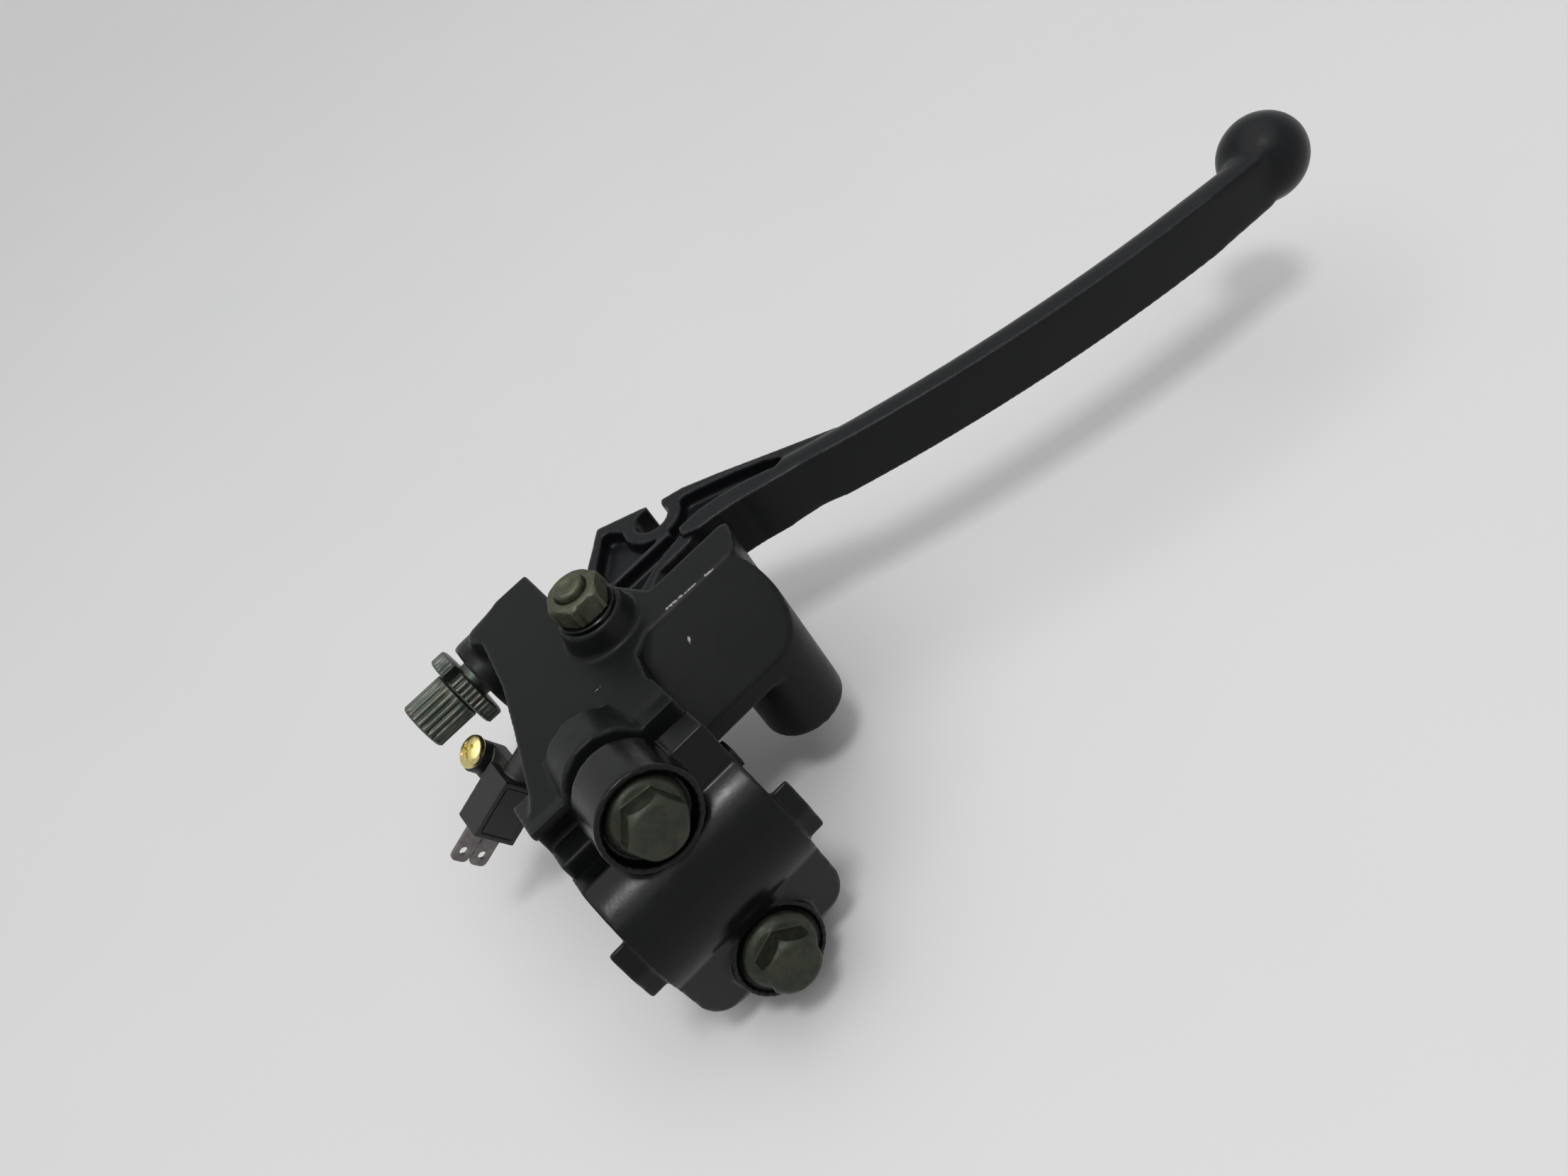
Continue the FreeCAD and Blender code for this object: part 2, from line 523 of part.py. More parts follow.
def make_lever():
    """The lever: hub, open root with its nipple socket, curved blade and ball end."""
    blade = doc.addObject("Part::Revolution", "blade")
    blade.Source = outline("blade_section", "xz", [
        ("blade_radius", "-blade_height / 2"),
        ("blade_radius", "blade_height / 2"),
        ("blade_radius - blade_depth + blade_rounding", "blade_height / 2"),
        ("blade_radius - blade_depth", "blade_height / 2 - blade_rounding"),
        ("blade_radius - blade_depth", "-blade_height / 2 + blade_rounding"),
        ("blade_radius - blade_depth + blade_rounding", "-blade_height / 2"),
    ], {2: "blade_rounding", 4: "blade_rounding"})
    blade.Axis = FreeCAD.Vector(0, 0, 1)
    blade.Solid = True
    bind(blade, Angle="blade_sweep_angle")
    centre_x = "pivot_x + blade_offset_x - blade_radius * cos(blade_start_angle)"
    centre_y = "pivot_y + blade_offset_y - blade_radius * sin(blade_start_angle)"
    tilted(blade, (0, 0, 1), "blade_start_angle", centre_x, centre_y, "lever_mid")
    ball = doc.addObject("Part::Sphere", "ball")
    end = "(blade_start_angle + blade_sweep_angle + ball_lead_angle)"
    bind(ball, Radius="ball_diameter / 2",
         Placement__Base__x=f"{centre_x} + (blade_radius - ball_inset) * cos({end})",
         Placement__Base__y=f"{centre_y} + (blade_radius - ball_inset) * sin({end})",
         Placement__Base__z="lever_mid")
    root = extrude("root", outline("root_outline", "xy", [
        ("pivot_x + 6.5", "pivot_y - 6.2"),
        ("pivot_x + 9.2", "pivot_y + 5"),
        ("pivot_x + 16.5", "pivot_y + 10.4"),
        ("pivot_x + 30", "pivot_y + 10.8"),
        ("pivot_x + 37.7", "pivot_y + 9"),
        ("pivot_x + 66", "pivot_y - 4"),
        ("pivot_x + 62", "pivot_y + 5.6"),
        ("pivot_x + 49", "pivot_y + 15.2"),
        ("pivot_x + 40.5", "pivot_y + 21.6"),
        ("nipple_x + 9.4", "nipple_y + 0.7"),
        ("nipple_x + 4.6", "nipple_y + 2.6"),
        ("nipple_x", "nipple_y + 5.4"),
        ("nipple_x - 9", "nipple_y + 10.6"),
        ("nipple_x - 17", "nipple_y + 2"),
        ("nipple_x - 20", "pivot_y + 16"),
        ("heel_x - 1", "pivot_y + 8.4 + heel_radius"),
        ("pivot_x - 8", "pivot_y + 4"),
    ]), "root_thickness", ROOT_BOTTOM)
    hub = rod("hub", "hub_diameter / 2", "root_thickness", *PIVOT, ROOT_BOTTOM)
    heel = rod("heel", "heel_radius", "root_thickness", "heel_x", "switch_y", ROOT_BOTTOM)
    collar = rod("nipple_collar_round", "nipple_diameter / 2 + nipple_collar", "root_thickness",
                 "nipple_x", "nipple_y", ROOT_BOTTOM)
    throat = extrude("throat", outline("throat_outline", "xy", [
        ("pivot_x + 24.5", "pivot_y + 12.2"),
        ("pivot_x + 28", "pivot_y + 10"),
        ("pivot_x + 31.3", "pivot_y + 9.4"),
        ("pivot_x + 34.4", "pivot_y + 8.6"),
        ("pivot_x + 37.6", "pivot_y + 7.6"),
        ("pivot_x + 49", "pivot_y + 3"),
        ("pivot_x + 53", "pivot_y + 5"),
        ("pivot_x + 45", "pivot_y + 10.4"),
        ("pivot_x + 37", "pivot_y + 14.2"),
        ("pivot_x + 31", "pivot_y + 15.5"),
        ("pivot_x + 25.5", "pivot_y + 15.6"),
    ]), "blade_height", "lever_mid - blade_height / 2")
    solid = fuse("lever_solid", blade, ball, root, throat, hub, heel)
    pocket = extrude("root_pocket", outline("root_pocket_outline", "xy", [
        ("pivot_x + 9", "pivot_y + 9.5"),
        ("pivot_x + 15.2", "pivot_y + 12.3"),
        ("pivot_x + 19.7", "pivot_y + 14"),
        ("pivot_x + 25.4", "pivot_y + 14.8"),
        ("pivot_x + 31.3", "pivot_y + 14.7"),
        ("pivot_x + 36.3", "pivot_y + 13.4"),
        ("pivot_x + 42", "pivot_y + 11"),
        ("pivot_x + 47.5", "pivot_y + 8"),
        ("pivot_x + 49.4", "pivot_y + 8.8"),
        ("pivot_x + 50.4", "pivot_y + 11"),
        ("pivot_x + 47.8", "pivot_y + 14"),
        ("pivot_x + 42.3", "pivot_y + 18"),
        ("pivot_x + 36.2", "pivot_y + 21.6"),
        ("nipple_x + 8", "nipple_y - 2"),
        ("nipple_x - 2", "nipple_y - 4"),
        ("nipple_x - 8", "nipple_y + 6.6"),
        ("nipple_x - 9.6", "nipple_y + 7"),
        ("nipple_x - 15.6", "nipple_y"),
        ("nipple_x - 16", "nipple_y - 12"),
    ]), "blade_height + 2", "lever_mid - blade_height / 2 - 1")
    web = box("root_web_block", "pivot_x + 5", "pivot_y + 5", "lever_mid - root_web / 2", "60", "40", "root_web")
    rib = box("root_rib", "pivot_x + 5", "pivot_y + 18 - rib_width / 2", ROOT_BOTTOM,
              "nipple_x - pivot_x - 5", "rib_width", "root_thickness")
    keep = fuse("pocket_keep", web, rib, collar)
    hollow = cut("root_hollow", pocket, keep)
    tools = [
        hollow,
        rod("bush_hole", "pivot_diameter / 2 + running_gap + bush_wall", "root_thickness + 2",
            *PIVOT, f"{ROOT_BOTTOM} - 1"),
        rod("nipple_hole", "nipple_diameter / 2", "root_thickness + 2",
            "nipple_x", "nipple_y", f"{ROOT_BOTTOM} - 1"),
        tilted(box("nipple_mouth", "0", "0", "0", "12", "nipple_mouth_width", "root_thickness + 2"),
               (0, 0, 1), "60", "nipple_x + nipple_mouth_width * 0.63",
               "nipple_y - nipple_mouth_width * 0.37", f"{ROOT_BOTTOM} - 1"),
        box("cable_channel", "heel_x + heel_radius + 1", "nipple_y + 4.2", "lever_mid - cable_slot / 2",
            "nipple_x - heel_x - heel_radius", "12", "cable_slot"),
    ]
    return cut("lever", solid, *tools)


def make_pivot():
    """Bush, bolt, washer and nut on the lever's pivot."""
    bush = cut("lever_bush",
               rod("bush_outside", "pivot_diameter / 2 + running_gap + bush_wall", "root_thickness + ear_gap",
                   *PIVOT, f"{ROOT_BOTTOM} - ear_gap / 2"),
               rod("bush_inside", "pivot_diameter / 2 + running_gap", "root_thickness + 2",
                   *PIVOT, f"{ROOT_BOTTOM} - 1"))
    head = hexagon("pivot_head", "head_flats", "pivot_head_height", *PIVOT,
                   f"{PLATE_BOTTOM} - pivot_head_height")
    shank = rod("pivot_shank", "pivot_diameter / 2",
                f"{BOSS_TOP} + washer_thickness + nut_height + pivot_tip - {PLATE_BOTTOM} + 1",
                *PIVOT, f"{PLATE_BOTTOM} - 1")
    bolt = fuse("pivot_bolt", head, shank)
    hole = {"x": "pivot_x", "y": "pivot_y", "z": BOSS_TOP + " - 1"}
    washer = cut("pivot_washer",
                 rod("washer_round", "washer_diameter / 2", "washer_thickness", *PIVOT, BOSS_TOP),
                 rod("washer_hole", "pivot_diameter / 2 + bolt_hole_gap", "washer_thickness + 2", **hole))
    nut_bottom = f"{BOSS_TOP} + washer_thickness"
    nut = cut("pivot_nut", hexagon("nut_prism", "head_flats", "nut_height", *PIVOT, nut_bottom),
              rod("nut_thread", "pivot_diameter / 2 + thread_gap", "nut_height + 4", **hole))
    return bush, bolt, washer, nut


def make_adjuster():
    """Hollow knurled screw that the cable housing seats in, and its knurled lock ring."""
    ring_start = "-cable_boss_face - ring_backoff - ring_thickness"
    head_start = f"{ring_start} - adjuster_gap - adjuster_head_length"
    head = rod("adjuster_head", "adjuster_head_diameter / 2", "adjuster_head_length",
               head_start, "cable_y", "lever_mid", "x")
    stem = rod("adjuster_stem", "adjuster_diameter / 2",
               "adjuster_head_length + adjuster_gap + ring_thickness + ring_backoff + cable_boss_length - 1",
               head_start, "cable_y", "lever_mid", "x")
    slot = box("adjuster_slot_space", f"{head_start} - 1", "cable_y", "lever_mid - adjuster_slot / 2",
               "60", "adjuster_head_diameter", "adjuster_slot")
    adjuster = cut("cable_adjuster", fuse("adjuster_solid", head, stem), slot,
                   rod("cable_seat", "cable_seat_diameter / 2", "cable_seat_depth + 1",
                       f"{head_start} - 1", "cable_y", "lever_mid", "x"),
                   rod("cable_way", "cable_diameter / 2", "60", f"{head_start} - 1", "cable_y", "lever_mid", "x"))
    notch = tilted(box("ring_slot_space", "0", "0", "0", "30", "adjuster_slot", "ring_diameter"),
                   (1, 0, 0), "28", f"{ring_start} - 1", "cable_y", "lever_mid")
    ring = cut("adjuster_lock_ring",
               rod("ring_round", "ring_diameter / 2", "ring_thickness", ring_start, "cable_y", "lever_mid", "x"),
               rod("ring_thread", "adjuster_diameter / 2 + thread_gap", "ring_thickness + 2",
                   f"{ring_start} - 1", "cable_y", "lever_mid", "x"), notch)
    return adjuster, ring


def make_switch():
    """Brake light switch: case with a nose and an ear, cover, plunger, spring, bridge and terminals."""
    half_length, half_width, half_height = "case_length / 2", "case_width / 2", "case_height / 2"
    case = fuse("case_solid",
                box("case_block", f"-{half_length}", f"-{half_width}", f"-{half_height}",
                    "case_length", "case_width", "case_height"),
                rod("case_nose", "nose_diameter / 2", "nose_length", x=f"{half_length} - 0.1", along="x"),
                rod("case_ear", "switch_ear_diameter / 2", "switch_ear_height",
                    "switch_ear_x", "switch_ear_y", f"-{half_height} + 3.5"),
                box("ear_arm", "switch_ear_x - switch_ear_diameter / 2", "0", f"-{half_height} + 3.5",
                    "switch_ear_diameter", "switch_ear_y", "switch_ear_height * 0.6"))
    chamber = box("case_chamber", f"-{half_length} + case_wall", f"-{half_width} - 1",
                  f"-{half_height} + case_wall", "case_length - 2 * case_wall",
                  "case_width + 1 - case_wall", "case_height - 2 * case_wall")
    slots = [box(f"terminal_slot_{level}", f"-{half_length} - 1", "-terminal_thickness / 2 - thread_gap",
                 f"{sign}terminal_pitch / 2 - terminal_width / 2 - thread_gap", "case_wall + 3",
                 "terminal_thickness + 2 * thread_gap", "terminal_width + 2 * thread_gap")
             for level, sign in (("upper", ""), ("lower", "-"))]
    housing = cut("switch_housing", case, chamber,
                  rod("plunger_hole", "plunger_diameter / 2 + running_gap", "nose_length + 8",
                      x=f"{half_length} - 4", along="x"),
                  rod("ear_hole", "screw_diameter / 2 + bolt_hole_gap", "20",
                      "switch_ear_x", "switch_ear_y", f"-{half_height}"), *slots)
    cover = box("cover_block", f"-{half_length} + case_wall + 0.05", f"-{half_width}",
                f"-{half_height} + case_wall + 0.05", "case_length - 2 * case_wall - 0.1", "1",
                "case_height - 2 * case_wall - 0.1")
    tip = f"{half_length} + nose_length + plunger_reach - heel_gap"
    head_x = f"{half_length} - case_wall - 2.2"
    plunger = fuse("plunger_solid",
                   rod("plunger_rod", "plunger_diameter / 2", f"{tip} - ({head_x})", x=head_x, along="x"),
                   rod("plunger_collar", "spring_diameter / 2", "1.4", x=f"{head_x}", along="x"))
    bridge = box("bridge_plate", f"{head_x} - 0.8", "-1.2", f"-{half_height} + case_wall + bridge_gap",
                 "0.8", "2.4", "case_height - 2 * case_wall - 2 * bridge_gap")
    spring = cut("spring_tube",
                 rod("spring_outside", "spring_diameter / 2", "2.4", x=f"{head_x} - 3.2", along="x"),
                 rod("spring_inside", "spring_diameter / 2 - spring_wire", "6", x=f"{head_x} - 5", along="x"))
    terminals = []
    for level, sign in (("upper", ""), ("lower", "-")):
        strip = box(f"strip_{level}", f"-{half_length} - terminal_reach", "-terminal_thickness / 2",
                    f"{sign}terminal_pitch / 2 - terminal_width / 2",
                    "terminal_reach + case_wall + 0.5", "terminal_thickness", "terminal_width")
        hole = rod(f"strip_hole_{level}", "terminal_hole / 2", "4", f"-{half_length} - terminal_reach + 2.4",
                   "-2", f"{sign}terminal_pitch / 2", "y")
        terminals.append(cut(f"terminal_{level}_solid", strip, hole))
    ear_top = f"-{half_height} + 3.5 + switch_ear_height"
    screw = fuse("screw_solid",
                 rod("screw_head", "screw_head_diameter / 2", "screw_head_height",
                     "switch_ear_x", "switch_ear_y", ear_top),
                 rod("screw_shank", "screw_diameter / 2", "switch_ear_height + switch_pad + 0.6",
                     "switch_ear_x", "switch_ear_y", f"{ear_top} - switch_ear_height - switch_pad - 0.5"))
    seal = cut("seal_ring",
               rod("seal_outside", "nose_diameter / 2 - 0.4", "1.6", x=f"{half_length} + nose_length", along="x"),
               rod("seal_inside", "plunger_diameter / 2 + running_gap", "4",
                   x=f"{half_length} + nose_length - 1", along="x"))
    named = {"switch_housing": housing, "switch_cover": cover, "switch_plunger": plunger,
             "contact_bridge": bridge, "plunger_spring": spring, "switch_screw": screw, "nose_seal": seal,
             "terminal_upper": terminals[0], "terminal_lower": terminals[1]}
    return {label: place_switch(thing) for label, thing in named.items()}


subparts = {"perch_body": make_perch(), "clamp_cap": make_cap()}
for level, sign in (("upper", ""), ("lower", "-")):
    subparts[f"clamp_bolt_{level}"] = make_clamp_bolt(level, sign)
subparts["lever"] = make_lever()
subparts.update(zip(("lever_bush", "pivot_bolt", "pivot_washer", "pivot_nut"), make_pivot()))
subparts.update(zip(("cable_adjuster", "adjuster_lock_ring"), make_adjuster()))
subparts.update(make_switch())
for label, thing in subparts.items():
    thing.Label = label
doc.recompute()

for thing in doc.Objects:
    if "Invalid" in thing.State or "Error" in thing.State:
        raise RuntimeError(f"{thing.Name} failed: {thing.State}")
os.makedirs("parts", exist_ok=True)
for label, thing in subparts.items():
    shape = thing.Shape
    if shape.isNull() or not shape.isValid() or not shape.Solids:
        raise RuntimeError(f"{label} has no valid solid")
for label, thing in subparts.items():
    thing.Shape.exportStep(f"parts/{label}.step")
    print(f"{label}: {len(thing.Shape.Solids)} solid, {thing.Shape.Volume:.0f} mm3")
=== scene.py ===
import math
import bmesh
import bpy
import numpy as np
from mathutils import Matrix, Vector


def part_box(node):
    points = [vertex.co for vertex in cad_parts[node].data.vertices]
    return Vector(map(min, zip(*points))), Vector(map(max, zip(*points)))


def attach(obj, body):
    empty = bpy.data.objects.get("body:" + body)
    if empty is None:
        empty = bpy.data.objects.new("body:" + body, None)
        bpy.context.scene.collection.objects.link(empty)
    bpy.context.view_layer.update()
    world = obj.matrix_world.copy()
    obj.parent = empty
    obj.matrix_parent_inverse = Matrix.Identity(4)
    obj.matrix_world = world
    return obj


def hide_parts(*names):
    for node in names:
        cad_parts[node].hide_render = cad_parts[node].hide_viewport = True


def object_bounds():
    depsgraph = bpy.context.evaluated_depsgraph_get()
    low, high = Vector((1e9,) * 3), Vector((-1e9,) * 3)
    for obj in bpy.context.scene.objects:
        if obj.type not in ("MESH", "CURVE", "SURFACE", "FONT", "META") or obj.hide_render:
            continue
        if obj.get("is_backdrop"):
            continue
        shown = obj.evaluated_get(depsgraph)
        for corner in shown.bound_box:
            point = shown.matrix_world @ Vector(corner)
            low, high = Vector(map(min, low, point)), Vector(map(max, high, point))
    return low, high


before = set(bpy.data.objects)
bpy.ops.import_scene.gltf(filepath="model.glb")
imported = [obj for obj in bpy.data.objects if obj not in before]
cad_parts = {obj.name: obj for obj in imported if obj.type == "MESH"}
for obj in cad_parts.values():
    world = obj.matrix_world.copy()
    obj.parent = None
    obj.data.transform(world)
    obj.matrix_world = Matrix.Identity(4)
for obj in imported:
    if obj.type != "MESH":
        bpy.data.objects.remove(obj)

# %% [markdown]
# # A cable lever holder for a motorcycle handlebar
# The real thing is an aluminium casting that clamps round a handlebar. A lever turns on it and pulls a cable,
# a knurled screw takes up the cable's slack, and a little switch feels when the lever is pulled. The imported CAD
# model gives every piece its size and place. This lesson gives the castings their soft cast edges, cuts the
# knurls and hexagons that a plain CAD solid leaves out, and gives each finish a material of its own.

MM = 0.001
cad_low, cad_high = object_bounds()
print("CAD box in mm:", [round(v / MM, 1) for v in (cad_high - cad_low)])

# %% [markdown]
# ## The camera
# The camera looks down at about 41 degrees and is rolled, so the lever climbs to the upper right. Two unit
# vectors say which way is right and up for it. Their cross product points back, and a matrix made of the three
# as columns turns the camera.

# %% Camera
SENSOR_MM, LENS_MM = 36.0, 28.32
CAMERA_PLACE = (0.00591, -0.14676, 0.16202)
CAMERA_RIGHT = (0.70924, -0.55775, -0.43117)
CAMERA_UP = (0.68310, 0.39255, 0.61586)


def add_camera(place, right, up):
    """A camera at a place in metres, turned by its own right and up directions; back is their cross product."""
    right = Vector(right).normalized()
    back = right.cross(Vector(up)).normalized()
    turned = Matrix((right, back.cross(right), back)).transposed().to_4x4()
    data = bpy.data.cameras.new("view_camera")
    data.sensor_width = SENSOR_MM
    data.lens = LENS_MM
    data.clip_start = 0.01
    camera = bpy.data.objects.new("view_camera", data)
    camera.matrix_world = Matrix.Translation(Vector(place)) @ turned
    bpy.context.collection.objects.link(camera)
    bpy.context.scene.camera = camera
    return camera


camera = add_camera(CAMERA_PLACE, CAMERA_RIGHT, CAMERA_UP)
print("camera at", [round(v, 3) for v in camera.matrix_world.translation])

# %% [markdown]
# ## One function for nodes, one for colours
# A material is a small graph of nodes. One function adds any node, sets its settings and fills its sockets, so a
# material reads as a list of steps. Colours are written as sRGB hex, the way a colour picker shows them, and one
# function turns them into the linear numbers that the shader works in. A pattern's scale is one over the size of
# its features in metres, because Object coordinates are metres.

# %% Node, colour and scale helpers
def linear(code):
    """sRGB hex to linear: small values divide by 12.92, the rest follow the 2.4 power curve."""
    parts = [int(code[i:i + 2], 16) / 255 for i in (1, 3, 5)]
    return tuple(p / 12.92 if p <= 0.04045 else ((p + 0.055) / 1.055) ** 2.4 for p in parts) + (1.0,)


def add_node(tree, kind, sockets=None, **settings):
    """Adds a node; sockets maps an input's name or number to a value or to another node's output."""
    made = tree.nodes.new(kind)
    for name, value in settings.items():
        setattr(made, name, value)
    for key, value in (sockets or {}).items():
        if isinstance(value, bpy.types.NodeSocket):
            tree.links.new(value, made.inputs[key])
        else:
            made.inputs[key].default_value = value
    return made


def per_mm(size):
    """The noise scale whose features are size millimetres across."""
    return 1 / (size * MM)


def new_material(name, **sockets):
    """A material with one Principled shader; numbers that are the same all over go straight onto its sockets."""
    material = bpy.data.materials.new(name)
    material.use_nodes = True
    tree = material.node_tree
    shader = tree.nodes["Principled BSDF"]
    for key, value in sockets.items():
        shader.inputs[key.replace("_", " ")].default_value = value
    return material, tree, shader


print("a 0.5 mm pattern has a noise scale of", round(per_mm(0.5)))

# %% [markdown]
# ## Black stoved enamel on cast aluminium
# The castings are shot blasted, sprayed black and baked. The eye sees a grey-black with a soft sheen, a fine
# orange peel and a few chips that show the bare metal. The edges are painted lighter, a painted highlight for the
# gloss catching the light along them. Two attributes on the mesh, made further down, say where the edges and the
# chips are: this keeps the painted highlight on the edges whatever their shape. The chip attribute also carries a
# few painted highlight lines. Noise breaks both up, so that no line is even.

# %% Enamel
# The first colour is a painted highlight along the edges; the second is bare metal in chips and painted highlight
# strokes.
EDGE_HIGHLIGHT_GREY, BARE_METAL_AND_HIGHLIGHT = "#76777a", "#a3a3a0"


def enamel(name, dark, light, shine, gloss, peel_mm, edge_highlight_strength):
    """Baked black enamel: mottled colour, painted highlights on edges and strokes, bright chips, cloudy gloss,
    orange-peel bump.
    """
    material, tree, shader = new_material(name, Specular_IOR_Level=shine)
    place = add_node(tree, "ShaderNodeTexCoord").outputs["Object"]
    clouds = add_node(tree, "ShaderNodeTexNoise", {"Vector": place, "Scale": per_mm(12), "Detail": 4.0})
    mottled = add_node(tree, "ShaderNodeMix", {0: clouds.outputs["Fac"], 6: linear(dark), 7: linear(light)},
                       data_type="RGBA")
    broken = add_node(tree, "ShaderNodeTexNoise", {
        "Vector": place, "Scale": per_mm(1.5), "Detail": 5.0, "Roughness": 0.7}).outputs["Fac"]
    # Painted highlight: where the edge attribute is high, the paint is mixed towards a light grey, for gloss catching
    # the light.
    edge = add_node(tree, "ShaderNodeAttribute", attribute_name="edge").outputs["Fac"]
    edge_highlight = add_node(tree, "ShaderNodeMath", {0: edge, 1: broken}, operation="MULTIPLY").outputs[0]
    edge_highlight = add_node(tree, "ShaderNodeMapRange", {
        "Value": edge_highlight, "From Min": 0.14, "From Max": 0.55, "To Max": edge_highlight_strength}).outputs["Result"]
    edge_lit = add_node(tree, "ShaderNodeMix", {0: edge_highlight, 6: mottled.outputs[2], 7: linear(EDGE_HIGHLIGHT_GREY)},
                       data_type="RGBA")
    # Chips mix in bare metal; the same attribute also paints highlight lines along the fold and the lever's top edge.
    chip_and_highlight = add_node(tree, "ShaderNodeAttribute", attribute_name="chip_and_highlight").outputs["Fac"]
    flakes = add_node(tree, "ShaderNodeTexNoise", {"Vector": place, "Scale": per_mm(1.1), "Detail": 3.0})
    bare_and_lit = add_node(tree, "ShaderNodeMath", {0: chip_and_highlight, 1: flakes.outputs["Fac"]}, operation="MULTIPLY").outputs[0]
    bare_and_lit = add_node(tree, "ShaderNodeMapRange", {"Value": bare_and_lit, "From Min": 0.36, "From Max": 0.46}).outputs["Result"]
    chipped_and_lit = add_node(tree, "ShaderNodeMix", {0: bare_and_lit, 6: edge_lit.outputs[2], 7: linear(BARE_METAL_AND_HIGHLIGHT)},
                       data_type="RGBA")
    sheen = add_node(tree, "ShaderNodeTexNoise", {
        "Vector": place, "Scale": per_mm(4), "Detail": 5.0, "Roughness": 0.6})
    rough = add_node(tree, "ShaderNodeMapRange", {
        "Value": sheen.outputs["Fac"], "From Min": 0.3, "From Max": 0.7, "To Min": gloss - 0.05,
        "To Max": gloss + 0.08}).outputs["Result"]
    peel = add_node(tree, "ShaderNodeTexNoise", {"Vector": place, "Scale": per_mm(peel_mm), "Detail": 2.0})
    fine = add_node(tree, "ShaderNodeBump", {
        "Height": peel.outputs["Fac"], "Distance": 0.02 * MM, "Strength": 0.5}).outputs["Normal"]
    cast = add_node(tree, "ShaderNodeTexNoise", {"Vector": place, "Scale": per_mm(7), "Detail": 1.0})
    waves = add_node(tree, "ShaderNodeBump", {
        "Height": cast.outputs["Fac"], "Distance": 0.15 * MM, "Strength": 0.35, "Normal": fine}).outputs["Normal"]
    tree.links.new(chipped_and_lit.outputs[2], shader.inputs["Base Color"])
    tree.links.new(rough, shader.inputs["Roughness"])
    tree.links.new(waves, shader.inputs["Normal"])
    return material


# Satin paint on the holder. The cap was sprayed wetter and shines, and the lever is between the two.
# The last number is how strongly the edges get their painted highlight.
perch_enamel = enamel("black_stoved_enamel_on_cast_aluminium", "#101112", "#161718", 0.14, 0.36, 0.6, 0.10)
cap_enamel = enamel("black_stoved_enamel_gloss_coat", "#060708", "#0a0b0c", 0.20, 0.22, 0.6, 0.05)
lever_enamel = enamel("black_stoved_enamel_wet_coat", "#121315", "#18191b", 0.15, 0.32, 0.8, 0.14)
print("enamels:", perch_enamel.name, cap_enamel.name, lever_enamel.name)

# %% [markdown]
# ## Zinc plating with chromate
# The bolts are steel, plated with zinc and dipped in chromate. Olive chromate is a drab green-grey; a yellow dip
# is gold with faint green and pink in it, like a film of oil, because the layer is so thin. Plating is a metal,
# so its colour is in its reflection. It is cloudy where the dip dried, and dark grime sits in random patches.

# %% Plating
def plating(name, first, second, film, grime, gloss, cloud_mm=3.0, metal=0.8):
    """Chromated zinc: two tints in clouds, a third in patches, dark grime, cloudy gloss and fine tool marks."""
    material, tree, shader = new_material(name, Metallic=metal)
    place = add_node(tree, "ShaderNodeTexCoord").outputs["Object"]
    clouds = add_node(tree, "ShaderNodeTexNoise", {"Vector": place, "Scale": per_mm(cloud_mm), "Detail": 4.0})
    share = add_node(tree, "ShaderNodeMapRange", {"Value": clouds.outputs["Fac"], "From Min": 0.35, "From Max": 0.65})
    base = add_node(tree, "ShaderNodeMix", {0: share.outputs["Result"], 6: linear(first), 7: linear(second)},
                    data_type="RGBA")
    patch = add_node(tree, "ShaderNodeTexNoise", {"Vector": place, "Scale": per_mm(cloud_mm * 0.6), "Detail": 2.0})
    share = add_node(tree, "ShaderNodeMapRange", {
        "Value": patch.outputs["Fac"], "From Min": 0.52, "From Max": 0.68, "To Max": 0.7})
    filmed = add_node(tree, "ShaderNodeMix", {0: share.outputs["Result"], 6: base.outputs[2], 7: linear(film)},
                      data_type="RGBA")
    dirt = add_node(tree, "ShaderNodeTexNoise", {
        "Vector": place, "Scale": per_mm(1.0), "Detail": 6.0, "Roughness": 0.7})
    share = add_node(tree, "ShaderNodeMapRange", {
        "Value": dirt.outputs["Fac"], "From Min": 0.52, "From Max": 0.78, "To Max": 0.55})
    dirty = add_node(tree, "ShaderNodeMix", {0: share.outputs["Result"], 6: filmed.outputs[2], 7: linear(grime)},
                     data_type="RGBA")
    dull = add_node(tree, "ShaderNodeTexNoise", {"Vector": place, "Scale": per_mm(1.4), "Detail": 5.0})
    rough = add_node(tree, "ShaderNodeMapRange", {
        "Value": dull.outputs["Fac"], "From Min": 0.3, "From Max": 0.7, "To Min": gloss - 0.08,
        "To Max": gloss + 0.12}).outputs["Result"]
    marks = add_node(tree, "ShaderNodeTexNoise", {"Vector": place, "Scale": per_mm(0.35), "Detail": 3.0})
    pitted = add_node(tree, "ShaderNodeBump", {
        "Height": marks.outputs["Fac"], "Distance": 0.015 * MM, "Strength": 0.5}).outputs["Normal"]
    tree.links.new(dirty.outputs[2], shader.inputs["Base Color"])
    tree.links.new(rough, shader.inputs["Roughness"])
    tree.links.new(pitted, shader.inputs["Normal"])
    return material


